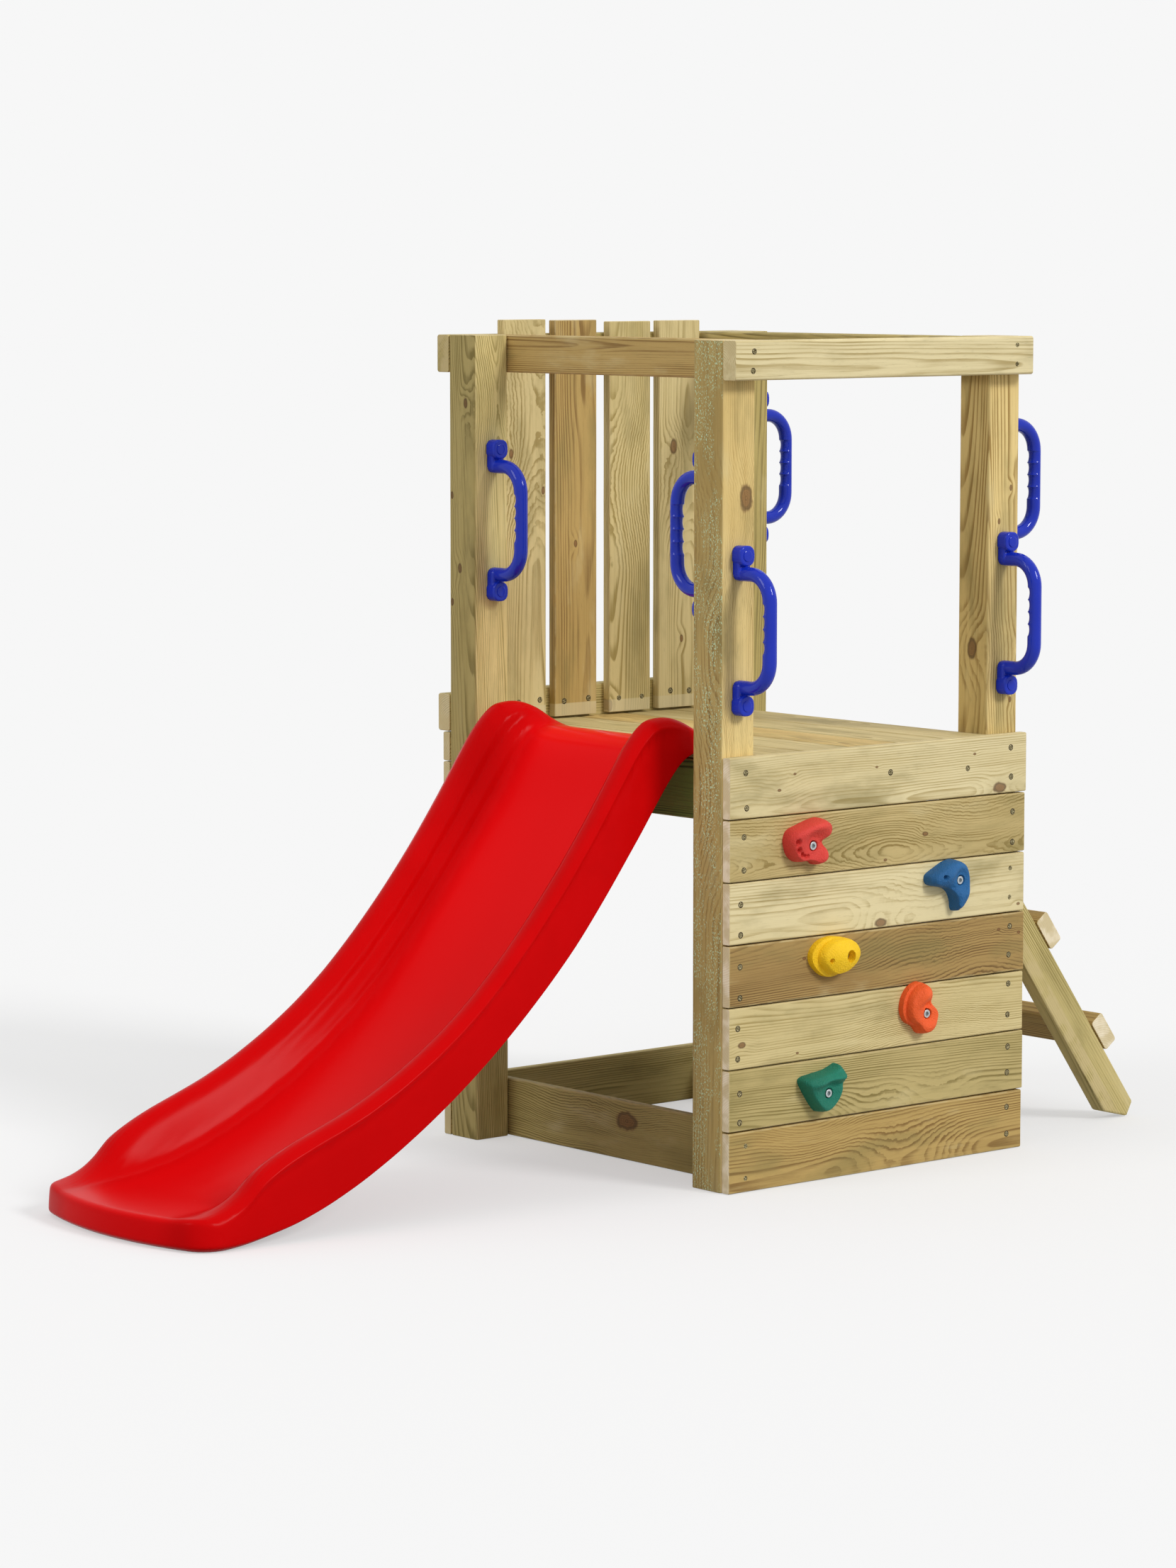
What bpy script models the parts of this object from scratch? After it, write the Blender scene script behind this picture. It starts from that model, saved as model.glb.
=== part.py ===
"""Climbing tower with slide: timber tower, climbing wall, ladder, grab handles and moulded slide.

Named sizes are in millimetres. x = 0, y = 0 is the middle of the four posts. The slide runs towards
-y, the climbing wall faces +x and the ladder leans against the +y side. Every object is a child of
one empty, which puts the middle of the whole footprint at the origin, on the floor.
"""

import math

import bmesh
import bpy
import numpy as np
from mathutils import Vector

MM = 0.001
GAP = 0.3
SMOOTH_ANGLE = math.radians(40)
ROUND_END = 0.48

# Tower: square posts, their outer faces, and how tall they are
POST = 65.0
HALF_X = 317.0
HALF_Y = 304.0
TOP = 1250.0
IN_X = HALF_X - POST
IN_Y = HALF_Y - POST

# Timber sections
BOARD_W = 90.0
BOARD_T = 16.0
RAIL_T = 28.0
RAIL_H = 58.0
POST_ROUND = 5.0
RAIL_ROUND = 4.0
BOARD_ROUND = 2.5
END_EASE = 1.2

# Deck
DECK_TOP = 644.0
BASE_BOARD_TOP = 91.0
DECK_FRONT_SPACE = 3.7
DECK_BOARDS = int((2 * IN_Y - GAP - DECK_FRONT_SPACE) / BOARD_W)
JOIST_TOP = DECK_TOP - BOARD_T - GAP

# Left side below the fence
SIDE_RAIL_DROP = 8.0
NARROW_W = 45.0
SIDE_SPACE = 1.5

# Climbing wall
WALL_BOARDS = 7
WALL_SPACE = 2.3
WALL_FRONT = 2.0
WALL_BACK = (5.0, 2.5, 2.0, 3.0, 1.5, 2.5, 0.5)
WALL_FACE = HALF_X + GAP + BOARD_T

# Fence slats: space to the front and back rails, and each one's shift and how far it stands above the posts
SLAT_W = 86.5
SLAT_LIFT = 3.5
SLAT_FRONT = 3.0
SLAT_BACK = 11.5
SLAT_SPACE = 8.0
SLATS = ((0.0, 22.0), (-2.7, 20.5), (2.7, 17.5), (0.0, 18.0))

# Ladder
LADDER_ANGLE = math.radians(53.86)
LADDER_DROP = 71.5
FOOT_HEEL_Z = 13.0
FOOT_FRONT_Z = 22.8
FOOT_TOE = 29.0
RUNG_FIRST = 135.1
RUNG_RISE = 173.2
RUNG_PAST = (2.0, 2.0, -1.0)
RUNG_ROUND = 5.0
LADDER_EDGE = 3.0

# Grab handles
HANDLE_LENGTH = 249.0
HANDLE_REACH = 67.1
HANDLE_R = 10.6
HANDLE_BEND = 40.0
HANDLE_STRAIGHT = 43.0
GRIP_SEGMENTS = 8
BEND_STEPS = 6
FOOT_SINK = 3.0
FINGER_PITCH = 18.6
FINGER_GROOVES = 4
FINGERS_UP = 5.3
GROOVE = 2.0
GROOVE_STEPS = 4
ROOT_LENGTH = 44.6
ROOT_IN = 14.0
ROOT_W = 22.6
ROOT_H = 13.0
ROOT_EDGE = 3.0
BOSS_LENGTH = 29.0
BOSS_W = 25.0
BOSS_H = 19.5
BOSS_EDGE = 2.0
BOSS_STEPS = 3
CAP_R = 10.0
CAP_H = 1.0
CAP_EDGE = 0.6
SLIDE_HANDLE_Z = DECK_TOP + 321.5
WALL_HANDLE_Z = DECK_TOP + 184.5
LADDER_HANDLE_Z = DECK_TOP + 386.0
SLIDE_LEFT_ASIDE = 2.5
SLIDE_RIGHT_ASIDE = -3.0
LADDER_RIGHT_ASIDE = -3.0

# Hold bolts
BOLT_HEAD_R = 6.3
BOLT_HEAD_H = 8.0
BOLT_HEAD_EDGE = 0.8
BOLT_SEGMENTS = 12
BOLT_SHANK_R = 4.0
BOLT_HOLE_R = 4.6
BOLT_PAST = 12.0
BOLT_SEAT = 10.0
SOCKET_R = 3.4
SOCKET_DEPTH = 4.5
RECESS_R = 9.0
RECESS_FLARE = 4.0
RECESS_SEGMENTS = 16
PIN_HOLE_R = 2.6
PIN_HOLE_FLOOR = 14.0
PIN_HOLE_SEGMENTS = 8

# Slide: widths from its centre line
SLIDE_X = 1.9
SLIDE_TURN = math.radians(-0.64)
SLIDE_SKIN = 4.0
SLIDE_THIN = 2.0
SIDE_X = 199.6
CREST_ROUND = 20.0
CREST_X = SIDE_X - CREST_ROUND
SIDE_RUN = 52.0
FLOOR_X = CREST_X - SIDE_RUN
FLOOR_DIP = 4.0
DIP_DEPTH = 70.0
DIP_SINK = 0.6
FLOOR_COLUMNS = (0.0, 0.4, 0.75)
SIDE_COLUMNS = 6
SIDE_BEND = 0.9
CREST_COLUMNS = 4
SKIRT_FLARE = 2.0
SKIRT_ROUND = 3.0
SKIRT_SHARES = (0.0, 0.3, 1.0)
SLIDE_BACK = -28.0
SEAT_END = 1.0
HUMP_END = 130.0
HUMP_ROWS = 12
RUN_ROWS = 12

# Slide: lip at the foot, where the skirt's lower edge turns under
LIP_REACH = 942.0
LIP_CURVE = 0.00095
LIP_CORNER = 31.0
LIP_ROUND = 11.0
LIP_SAG = 0.8 * LIP_ROUND
LIP_START = 800.0
LIP_SHARES = (0.25, 0.5, 0.75, 1.0)
LIP_ROUNDING = (0.35, 0.65, 0.87, 1.0)
LIP_UNDER = 11.0
UNDER_START = 760.0
UNDER_END = 870.0

# Slide profiles: distance in front of the deck beam's face, height as a share of the deck's height
CREST = ((SLIDE_BACK, 1.0124), (-2, 1.0388), (22, 1.0633), (56, 1.0769), (84, 1.0730), (113, 1.0373),
         (181, 0.8891), (282, 0.6863), (453, 0.4273), (619, 0.2748), (758, 0.1941), (797, 0.1641),
         (821, 0.1240), (851, 0.0932), (885, 0.0761), (955, 0.0683))
FLOOR = ((SLIDE_BACK, 1.0109), (16, 1.0186), (56, 0.9969), (76, 0.9612), (107, 0.8913), (192, 0.7252),
         (383, 0.3944), (602, 0.1724), (759, 0.0870), (804, 0.0765), (858, 0.0707), (955, 0.0660))
LOWER = ((14, 0.9907), (34, 0.9783), (50, 0.9543), (128, 0.7935), (249, 0.5581), (486, 0.2411),
         (666, 0.0823), (749, 0.0351), (799, 0.0171), (846, 0.0031), (870, 0), (955, 0))
CREST_LINE = [(f, share * DECK_TOP) for f, share in CREST]
FLOOR_LINE = [(f, share * DECK_TOP) for f, share in FLOOR]
LOWER_LINE = [(SLIDE_BACK, DECK_TOP + GAP), (SEAT_END, DECK_TOP + GAP)]
LOWER_LINE += [(f, share * DECK_TOP) for f, share in LOWER]

# Holds: wall board from the top, centre along y, height above the board's middle, bolt and pin hole
# offsets, how far it stands off, and the outline (y, z) around its centre
HOLDS = {
    "red": (2, -156, 6, (3, -6), (-32, 2), 36, (
        (-42, -1), (-41, 10), (-34, 19), (-13, 26), (9, 32), (26, 33), (39, 24), (39, 10), (28, 2),
        (27, -5), (33, -18), (31, -29), (16, -36), (7, -31), (-6, -28), (-22, -29), (-36, -18))),
    "blue": (3, 140, 14, (11, 2), (-28, 10), 34, (
        (-49, 9), (-45, 15), (-29, 23), (-10, 31), (8, 33), (23, 25), (32, 6), (30, -16), (24, -34),
        (12, -46), (3, -43), (-1, -29), (-8, -17), (-20, -9), (-44, -2))),
    "yellow": (4, -104, 15, (18, 0), (-18, -4), 36, (
        (-43, 1), (-39, 13), (-26, 24), (-6, 29), (12, 28), (31, 21), (45, 8), (45, -5), (32, -17),
        (14, -27), (-6, -31), (-22, -26), (-38, -12))),
    "orange": (5, 73, 11, (10, -8), None, 34, (
        (-32, -2), (-29, 18), (-16, 34), (2, 40), (16, 34), (20, 20), (23, 6), (34, -8), (30, -23),
        (20, -37), (4, -39), (-8, -27), (-24, -18))),
    "green": (6, -124, 3, (5, -7), None, 36, (
        (-43, 14), (-36, 20), (-17, 22), (4, 25), (22, 32), (33, 22), (35, 5), (28, -16), (12, -31),
        (-6, -35), (-18, -25), (-34, -3))),
}

# Hold sections from the wall outwards: share of the reach, share of the outline, smoothing passes
HOLD_LEVELS = ((0.0, 0.97, 0), (0.2, 1.0, 0), (0.45, 0.97, 1), (0.65, 0.89, 3), (0.82, 0.77, 6),
               (0.94, 0.56, 10), (1.0, 0.28, 20))
HOLD_SEGMENTS = 32
HOLD_CURVE_STEPS = 10
HOLD_DRIFT = 0.7

# Materials: base colour, roughness, metallic
MATERIALS = {
    "pine": ((0.62, 0.50, 0.27, 1.0), 0.7, 0.0),
    "slide_red": ((0.72, 0.02, 0.02, 1.0), 0.25, 0.0),
    "handle_blue": ((0.015, 0.03, 0.45, 1.0), 0.25, 0.0),
    "hold_red": ((0.68, 0.05, 0.04, 1.0), 0.6, 0.0),
    "hold_blue": ((0.01, 0.14, 0.42, 1.0), 0.6, 0.0),
    "hold_yellow": ((0.85, 0.52, 0.01, 1.0), 0.6, 0.0),
    "hold_orange": ((0.95, 0.14, 0.02, 1.0), 0.6, 0.0),
    "hold_green": ((0.0, 0.21, 0.12, 1.0), 0.6, 0.0),
    "zinc": ((0.6, 0.6, 0.6, 1.0), 0.35, 1.0),
}


# Building blocks
def clear_scene():
    for ob in list(bpy.data.objects):
        bpy.data.objects.remove(ob, do_unlink=True)


def make_material(name):
    colour, roughness, metallic = MATERIALS[name]
    mat = bpy.data.materials.get(name) or bpy.data.materials.new(name)
    mat.use_nodes = True
    shader = mat.node_tree.nodes["Principled BSDF"]
    shader.inputs["Base Color"].default_value = colour
    shader.inputs["Roughness"].default_value = roughness
    shader.inputs["Metallic"].default_value = metallic
    return mat


def make_mesh(name, bm, smooth=False):
    bmesh.ops.recalc_face_normals(bm, faces=bm.faces)
    mesh = bpy.data.meshes.new(name)
    bm.to_mesh(mesh)
    bm.free()
    if smooth:
        mesh.shade_smooth()
        mesh.set_sharp_from_angle(angle=SMOOTH_ANGLE)
    return mesh


def place(name, mesh, location, material, rotation=(0.0, 0.0, 0.0)):
    """An object at a location in millimetres, under the tower's empty."""
    ob = bpy.data.objects.new(name, mesh)
    bpy.context.scene.collection.objects.link(ob)
    ob.location = Vector(location) * MM
    ob.rotation_euler = rotation
    ob.parent = bpy.data.objects.get("tower_middle")
    if not mesh.materials:
        mesh.materials.append(make_material(material))
    return ob


def loft(rings):
    """A closed skin over rings of equally many points in millimetres."""
    bm = bmesh.new()
    rows = [[bm.verts.new(Vector(p) * MM) for p in ring] for ring in rings]
    for a, b in zip(rows, rows[1:]):
        for i in range(len(a)):
            j = (i + 1) % len(a)
            bm.faces.new((a[i], a[j], b[j], b[i]))
    bm.faces.new(rows[0])
    bm.faces.new(rows[-1])
    return bm


def rounded_rectangle(w, h, radius, steps, inset=0.0):
    points = []
    for k, (sx, sy) in enumerate(((1, 1), (-1, 1), (-1, -1), (1, -1))):
        for s in range(steps + 1):
            a = math.radians(90 * (k + s / steps))
            points.append((sx * (w / 2 - radius) + (radius - inset) * math.cos(a),
                           sy * (h / 2 - radius) + (radius - inset) * math.sin(a)))
    return points


def circle(radius, steps):
    return [(radius * math.cos(2 * math.pi * k / steps), radius * math.sin(2 * math.pi * k / steps))
            for k in range(steps)]


def turned(profile, steps):
    """Rings around +x through (x, radius) pairs."""
    return [[(x, a, b) for a, b in circle(r, steps)] for x, r in profile]


def bar_mesh(name, size, axis, radius, steps):
    """A timber of the given size with its long edges rounded and its ends eased."""
    u, v = (i for i in range(3) if i != axis)
    half = size[axis] / 2
    rings = []
    for along, inset in ((-half, END_EASE), (-half + END_EASE, 0), (half - END_EASE, 0), (half, END_EASE)):
        ring = []
        for a, b in rounded_rectangle(size[u], size[v], radius, steps, inset):
            p = [0.0, 0.0, 0.0]
            p[axis], p[u], p[v] = along, a, b
            ring.append(p)
        rings.append(ring)
    return make_mesh(name, loft(rings))


def bar(name, low, high, axis, radius, steps=1):
    """A timber between two corners of the tower, running along one axis."""
    size = [b - a for a, b in zip(low, high)]
    middle = [(a + b) / 2 for a, b in zip(low, high)]
    return place(name, bar_mesh(name, size, axis, radius, steps), middle, "pine")


def cutter(name, rings, location):
    ob = place(name, make_mesh(name, loft(rings)), location, "zinc")
    ob.hide_render = True
    ob.display_type = "WIRE"
    return ob


def add_boolean(ob, other, operation):
    mod = ob.modifiers.new(operation.lower(), "BOOLEAN")
    mod.operation = operation
    mod.solver = "EXACT"
    mod.object = other


# Timber tower
def posts():
    for side, x in (("left", -1), ("right", 1)):
        for end, y in (("front", -1), ("back", 1)):
            x0, x1 = sorted((x * IN_X, x * HALF_X))
            y0, y1 = sorted((y * IN_Y, y * HALF_Y))
            bar(f"post_{end}_{side}", (x0, y0, 0), (x1, y1, TOP), 2, POST_ROUND, 2)


def rails():
    low = TOP - RAIL_H
    out = HALF_X + GAP
    inner = IN_Y - GAP
    side_low = DECK_TOP - SIDE_RAIL_DROP
    bar("top_rail_right", (out, -HALF_Y, low), (out + RAIL_T, HALF_Y, TOP), 1, RAIL_ROUND)
    bar("top_rail_left", (-out - RAIL_T, -HALF_Y, low), (-out, HALF_Y, TOP), 1, RAIL_ROUND)
    bar("top_rail_front", (-HALF_X, -inner, low), (HALF_X, -inner + RAIL_T, TOP), 0, RAIL_ROUND)
    bar("top_rail_back", (-HALF_X, inner - RAIL_T, low), (HALF_X, inner, TOP), 0, RAIL_ROUND)
    bar("side_rail_left", (-out - RAIL_T, -HALF_Y, side_low), (-out, HALF_Y, side_low + RAIL_H), 1,
        RAIL_ROUND)


def left_boards():
    out = HALF_X + GAP
    narrow_top = DECK_TOP - SIDE_RAIL_DROP - SIDE_SPACE
    wide_top = narrow_top - NARROW_W - SIDE_SPACE
    for name, top, width in (("side_board_left_narrow", narrow_top, NARROW_W),
                             ("side_board_left_wide", wide_top, BOARD_W),
                             ("base_board_left", BOARD_W, BOARD_W)):
        bar(name, (-out - BOARD_T, -HALF_Y, top - width), (-out, HALF_Y, top), 1, BOARD_ROUND)


def cross_boards():
    """Deck beams and base boards, on the inner faces of the front and back posts."""
    inner = IN_Y - GAP
    for name, top in (("deck_beam", JOIST_TOP), ("base_board", BASE_BOARD_TOP)):
        bar(f"{name}_front", (-HALF_X, -inner, top - BOARD_W), (HALF_X, -inner + BOARD_T, top), 0,
            BOARD_ROUND)
        bar(f"{name}_back", (-HALF_X, inner - BOARD_T, top - BOARD_W), (HALF_X, inner, top), 0,
            BOARD_ROUND)


def joists():
    y = IN_Y - BOARD_T - 2 * GAP
    for name, x in (("deck_ledger_left", RAIL_T / 2 - HALF_X),
                    ("deck_joist_middle", 0),
                    ("deck_ledger_right", HALF_X - RAIL_T / 2)):
        bar(name, (x - RAIL_T / 2, -y, JOIST_TOP - RAIL_H), (x + RAIL_T / 2, y, JOIST_TOP), 1, RAIL_ROUND)


def deck():
    back = IN_Y - GAP
    front = -IN_Y + DECK_FRONT_SPACE
    pitch = (back - front - BOARD_W) / (DECK_BOARDS - 1)
    for i in range(DECK_BOARDS):
        y1 = back - pitch * i
        bar(f"deck_board_{i + 1}", (-HALF_X, y1 - BOARD_W, DECK_TOP - BOARD_T), (HALF_X, y1, DECK_TOP), 0,
            BOARD_ROUND)


def slats():
    first = SLAT_FRONT + RAIL_T - IN_Y + SLAT_W / 2
    last = IN_Y - RAIL_T - SLAT_BACK - SLAT_W / 2
    gaps = int((last - first) / (SLAT_W + SLAT_SPACE))
    for i in range(gaps + 1):
        shift, lift = SLATS[i % len(SLATS)]
        y = first + (last - first) * i / gaps + shift
        bar(f"fence_slat_{i + 1}", (-HALF_X, y - SLAT_W / 2, DECK_TOP + SLAT_LIFT),
            (-HALF_X + BOARD_T, y + SLAT_W / 2, TOP + lift), 2, BOARD_ROUND)


def wall_board_top(number):
    """Top edge of a wall board, counted from 1 at the top; the boards fill the height of the deck."""
    return DECK_TOP - (number - 1) * (DECK_TOP + WALL_SPACE) / WALL_BOARDS


def wall_board_width():
    return (DECK_TOP + WALL_SPACE) / WALL_BOARDS - WALL_SPACE


def hold_centre(number, y, lift):
    return y, wall_board_top(number) - wall_board_width() / 2 + lift


def climbing_wall():
    bolt_places = {}
    for number, y, lift, bolt, _, _, _ in HOLDS.values():
        centre = hold_centre(number, y, lift)
        bolt_places[number] = (centre[0] + bolt[0], centre[1] + bolt[1])
    for number, past in enumerate(WALL_BACK, 1):
        top = wall_board_top(number)
        board = bar(f"wall_board_{number}", (HALF_X + GAP, WALL_FRONT - HALF_Y, top - wall_board_width()),
                    (WALL_FACE, HALF_Y + past, top), 1, BOARD_ROUND)
        if number in bolt_places:
            y, z = bolt_places[number]
            drill = turned(((-BOARD_T - 2 * GAP, BOLT_HOLE_R), (2 * GAP, BOLT_HOLE_R)), BOLT_SEGMENTS)
            add_boolean(board, cutter(f"cut_wall_{number}", drill, (WALL_FACE, y, z)), "DIFFERENCE")


# Ladder
def ladder_y(z):
    """Where the ladder's outer edge line is at a height."""
    return IN_Y + (DECK_TOP - LADDER_DROP - z) / math.tan(LADDER_ANGLE)


def ladder():
    sin_a = math.sin(LADDER_ANGLE)
    cos_a = math.cos(LADDER_ANGLE)
    top_y = IN_Y + GAP
    top_z = DECK_TOP - LADDER_DROP
    outline = ((ladder_y(FOOT_HEEL_Z) - RAIL_H / sin_a, FOOT_HEEL_Z),
               (ladder_y(0) - FOOT_TOE, 0),
               (ladder_y(FOOT_FRONT_Z), FOOT_FRONT_Z),
               (top_y, top_z),
               (top_y, top_z - RAIL_H / cos_a))
    for side, x in (("right", IN_X - GAP - RAIL_T), ("left", GAP - IN_X)):
        bm = bmesh.new()
        face = bm.faces.new([bm.verts.new(Vector((0, y, z)) * MM) for y, z in outline])
        grown = bmesh.ops.extrude_face_region(bm, geom=[face])["geom"]
        bmesh.ops.translate(bm, vec=(RAIL_T * MM, 0, 0),
                            verts=[v for v in grown if isinstance(v, bmesh.types.BMVert)])
        bmesh.ops.recalc_face_normals(bm, faces=bm.faces)
        bmesh.ops.bevel(bm, geom=bm.edges[:], offset=LADDER_EDGE * MM, segments=2, profile=0.5,
                        affect="EDGES")
        place(f"ladder_side_{side}", make_mesh(f"ladder_side_{side}", bm), (x, 0, 0), "pine")
    out = RAIL_T / 2 + GAP
    for i, past in enumerate(RUNG_PAST):
        z = RUNG_FIRST + i * RUNG_RISE
        name = f"ladder_rung_{i + 1}"
        mesh = bar_mesh(name, (2 * (IN_X + past), RAIL_H, RAIL_T), 0, RUNG_ROUND, 2)
        place(name, mesh, (0, ladder_y(z) + out * sin_a, z + out * cos_a), "pine", (-LADDER_ANGLE, 0, 0))


# Grab handles: x out from the post's face, z along the post, y across it
def grip_path():
    """(z, x) points of the grip's centre line from the lower foot to the upper one."""
    start = HANDLE_STRAIGHT + HANDLE_BEND
    centre_x = HANDLE_REACH - HANDLE_BEND
    path = [(-start - FOOT_SINK, FOOT_SINK / 3), (-start - FOOT_SINK / 1.2, centre_x / 2)]
    for k in range(BEND_STEPS + 1):
        a = math.pi / 2 * k / BEND_STEPS
        path.append((-HANDLE_STRAIGHT - HANDLE_BEND * math.cos(a), centre_x + HANDLE_BEND * math.sin(a)))
    low = FINGERS_UP - FINGER_PITCH * FINGER_GROOVES / 2
    middle = [(low + FINGER_PITCH * k / GROOVE_STEPS, HANDLE_REACH)
              for k in range(GROOVE_STEPS * FINGER_GROOVES + 1)]
    return path + middle + [(-z, x) for z, x in reversed(path)]


def finger_groove(z):
    """Depth of the finger grooves on the side towards the post."""
    half = FINGER_PITCH * FINGER_GROOVES / 2
    if abs(z - FINGERS_UP) > half:
        return 0.0
    return GROOVE * math.sin(math.pi * (z - FINGERS_UP + half) / FINGER_PITCH) ** 2


def grip_rings():
    path = grip_path()
    rings = []
    for i, (z, x) in enumerate(path):
        before = path[max(i - 1, 0)]
        after = path[min(i + 1, len(path) - 1)]
        dz, dx = after[0] - before[0], after[1] - before[1]
        length = math.hypot(dz, dx)
        ring = []
        for c, s in circle(1.0, GRIP_SEGMENTS):
            r = HANDLE_R - finger_groove(z) * max(0.0, -c) * (x == HANDLE_REACH)
            ring.append((x + r * c * dz / length, r * s, z - r * c * dx / length))
        rings.append(ring)
    return rings


def boss_rings(z):
    """The block at each end of the handle, with a round screw cap on its outer face."""
    rings = []
    for x, inset in ((0, 0), (BOSS_H - BOSS_EDGE, 0), (BOSS_H, BOSS_EDGE)):
        outline = rounded_rectangle(BOSS_W, BOSS_LENGTH, ROUND_END * BOSS_W, BOSS_STEPS, inset)
        rings.append([(x, a, z + b) for a, b in outline])
    for x, radius in ((BOSS_H, CAP_R), (BOSS_H + CAP_H, CAP_R - CAP_EDGE)):
        outline = rounded_rectangle(2 * radius, 2 * radius, 2 * ROUND_END * radius, BOSS_STEPS)
        rings.append([(x, a, z + b) for a, b in outline])
    return rings


def root_rings(z):
    rings = []
    for x, inset in ((0, 0), (ROOT_H - ROOT_EDGE, 0), (ROOT_H, ROOT_EDGE)):
        outline = rounded_rectangle(ROOT_W, ROOT_LENGTH, ROUND_END * ROOT_W, BOSS_STEPS, inset)
        rings.append([(x, a, z + b) for a, b in outline])
    return rings


def handle_mesh():
    master = place("handle_master", make_mesh("handle", loft(grip_rings())), (0, 0, 0), "handle_blue")
    parts = []
    for sign in (-1, 1):
        z = sign * (HANDLE_LENGTH - BOSS_LENGTH) / 2
        for rings in (boss_rings(z), root_rings(z - sign * ROOT_IN)):
            parts.append(cutter("handle_part", rings, (0, 0, 0)))
            add_boolean(master, parts[-1], "UNION")
    graph = bpy.context.evaluated_depsgraph_get()
    mesh = bpy.data.meshes.new_from_object(master.evaluated_get(graph))
    for ob in [master] + parts:
        bpy.data.objects.remove(ob, do_unlink=True)
    mesh.shade_smooth()
    mesh.set_sharp_from_angle(angle=SMOOTH_ANGLE)
    return mesh


def handles():
    mid_x = HALF_X - POST / 2
    mid_y = HALF_Y - POST / 2
    places = (("handle_slide_left", (GAP - IN_X, SLIDE_LEFT_ASIDE - mid_y, SLIDE_HANDLE_Z), 0),
              ("handle_slide_right", (IN_X - GAP, SLIDE_RIGHT_ASIDE - mid_y, SLIDE_HANDLE_Z), 180),
              ("handle_wall_front", (HALF_X + GAP, -mid_y, WALL_HANDLE_Z), 0),
              ("handle_wall_back", (HALF_X + GAP, mid_y, WALL_HANDLE_Z), 0),
              ("handle_ladder_left", (-mid_x, HALF_Y + GAP, LADDER_HANDLE_Z), 90),
              ("handle_ladder_right", (mid_x + LADDER_RIGHT_ASIDE, HALF_Y + GAP, LADDER_HANDLE_Z), 90))
    mesh = handle_mesh()
    for name, location, turn in places:
        place(name, mesh, location, "handle_blue", (0, 0, math.radians(turn)))


# Climbing holds and their bolts
def smooth_outline(points, count):
    """Evenly spaced points along the closed smooth curve through the given ones."""
    fine = []
    n = len(points)
    for i in range(n):
        p0, p1, p2, p3 = (np.array(points[(i + k) % n], float) for k in (-1, 0, 1, 2))
        for t in np.linspace(0, 1, HOLD_CURVE_STEPS, endpoint=False):
            fine.append(0.5 * (2 * p1 + (p2 - p0) * t + (2 * p0 - 5 * p1 + 4 * p2 - p3) * t ** 2
                               + (3 * p1 - p0 - 3 * p2 + p3) * t ** 3))
    fine = np.array(fine + fine[:1])
    length = np.concatenate(([0], np.cumsum(np.hypot(*np.diff(fine, axis=0).T))))
    want = np.linspace(0, length[-1], count, endpoint=False)
    return np.column_stack([np.interp(want, length, fine[:, k]) for k in (0, 1)])


def hold_rings(outline, reach, bolt):
    base = smooth_outline(outline, HOLD_SEGMENTS)
    rings = []
    for out, share, passes in HOLD_LEVELS:
        shape = base.copy()
        for _ in range(passes):
            shape = 0.5 * shape + 0.25 * (np.roll(shape, 1, axis=0) + np.roll(shape, -1, axis=0))
        drift = np.array(bolt, float) * HOLD_DRIFT * (1 - share)
        rings.append([(out * reach, y, z) for y, z in shape * share + drift])
    return rings


def bolt_rings():
    """A socket-head bolt along +x, with its head's underside at x = 0."""
    shank = BOLT_SEAT + BOARD_T + BOLT_PAST
    rings = turned(((-shank, BOLT_SHANK_R), (0, BOLT_SHANK_R), (0, BOLT_HEAD_R),
                    (BOLT_HEAD_H - BOLT_HEAD_EDGE, BOLT_HEAD_R), (BOLT_HEAD_H, BOLT_HEAD_R - BOLT_HEAD_EDGE)),
                   BOLT_SEGMENTS)
    for x in (BOLT_HEAD_H, BOLT_HEAD_H - SOCKET_DEPTH):
        ring = []
        for k in range(BOLT_SEGMENTS):
            a = 2 * math.pi * k / BOLT_SEGMENTS
            r = SOCKET_R * math.cos(math.pi / 6) / math.cos(a % (math.pi / 3) - math.pi / 6)
            ring.append((x, r * math.cos(a), r * math.sin(a)))
        rings.append(ring)
    return rings


def holds():
    face = WALL_FACE + GAP
    bolt_mesh = make_mesh("bolt", loft(bolt_rings()))
    for colour, (number, y, lift, bolt, pin, reach, outline) in HOLDS.items():
        y, z = hold_centre(number, y, lift)
        name = f"hold_{colour}"
        ob = place(name, make_mesh(name, loft(hold_rings(outline, reach, bolt)), True), (face, y, z), name)
        bolt_at = (face, y + bolt[0], z + bolt[1])
        profile = ((-GAP, BOLT_HOLE_R), (BOLT_SEAT, BOLT_HOLE_R), (BOLT_SEAT, RECESS_R),
                   (reach + 1, RECESS_R + RECESS_FLARE))
        add_boolean(ob, cutter(f"cut_bolt_{colour}", turned(profile, RECESS_SEGMENTS), bolt_at), "DIFFERENCE")
        if pin:
            profile = ((PIN_HOLE_FLOOR, PIN_HOLE_R), (reach + 1, PIN_HOLE_R))
            pin_at = (face, y + pin[0], z + pin[1])
            drill = cutter(f"cut_pin_{colour}", turned(profile, PIN_HOLE_SEGMENTS), pin_at)
            add_boolean(ob, drill, "DIFFERENCE")
        place(f"bolt_{colour}", bolt_mesh, (face + BOLT_SEAT + GAP, bolt_at[1], bolt_at[2]), "zinc")


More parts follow.
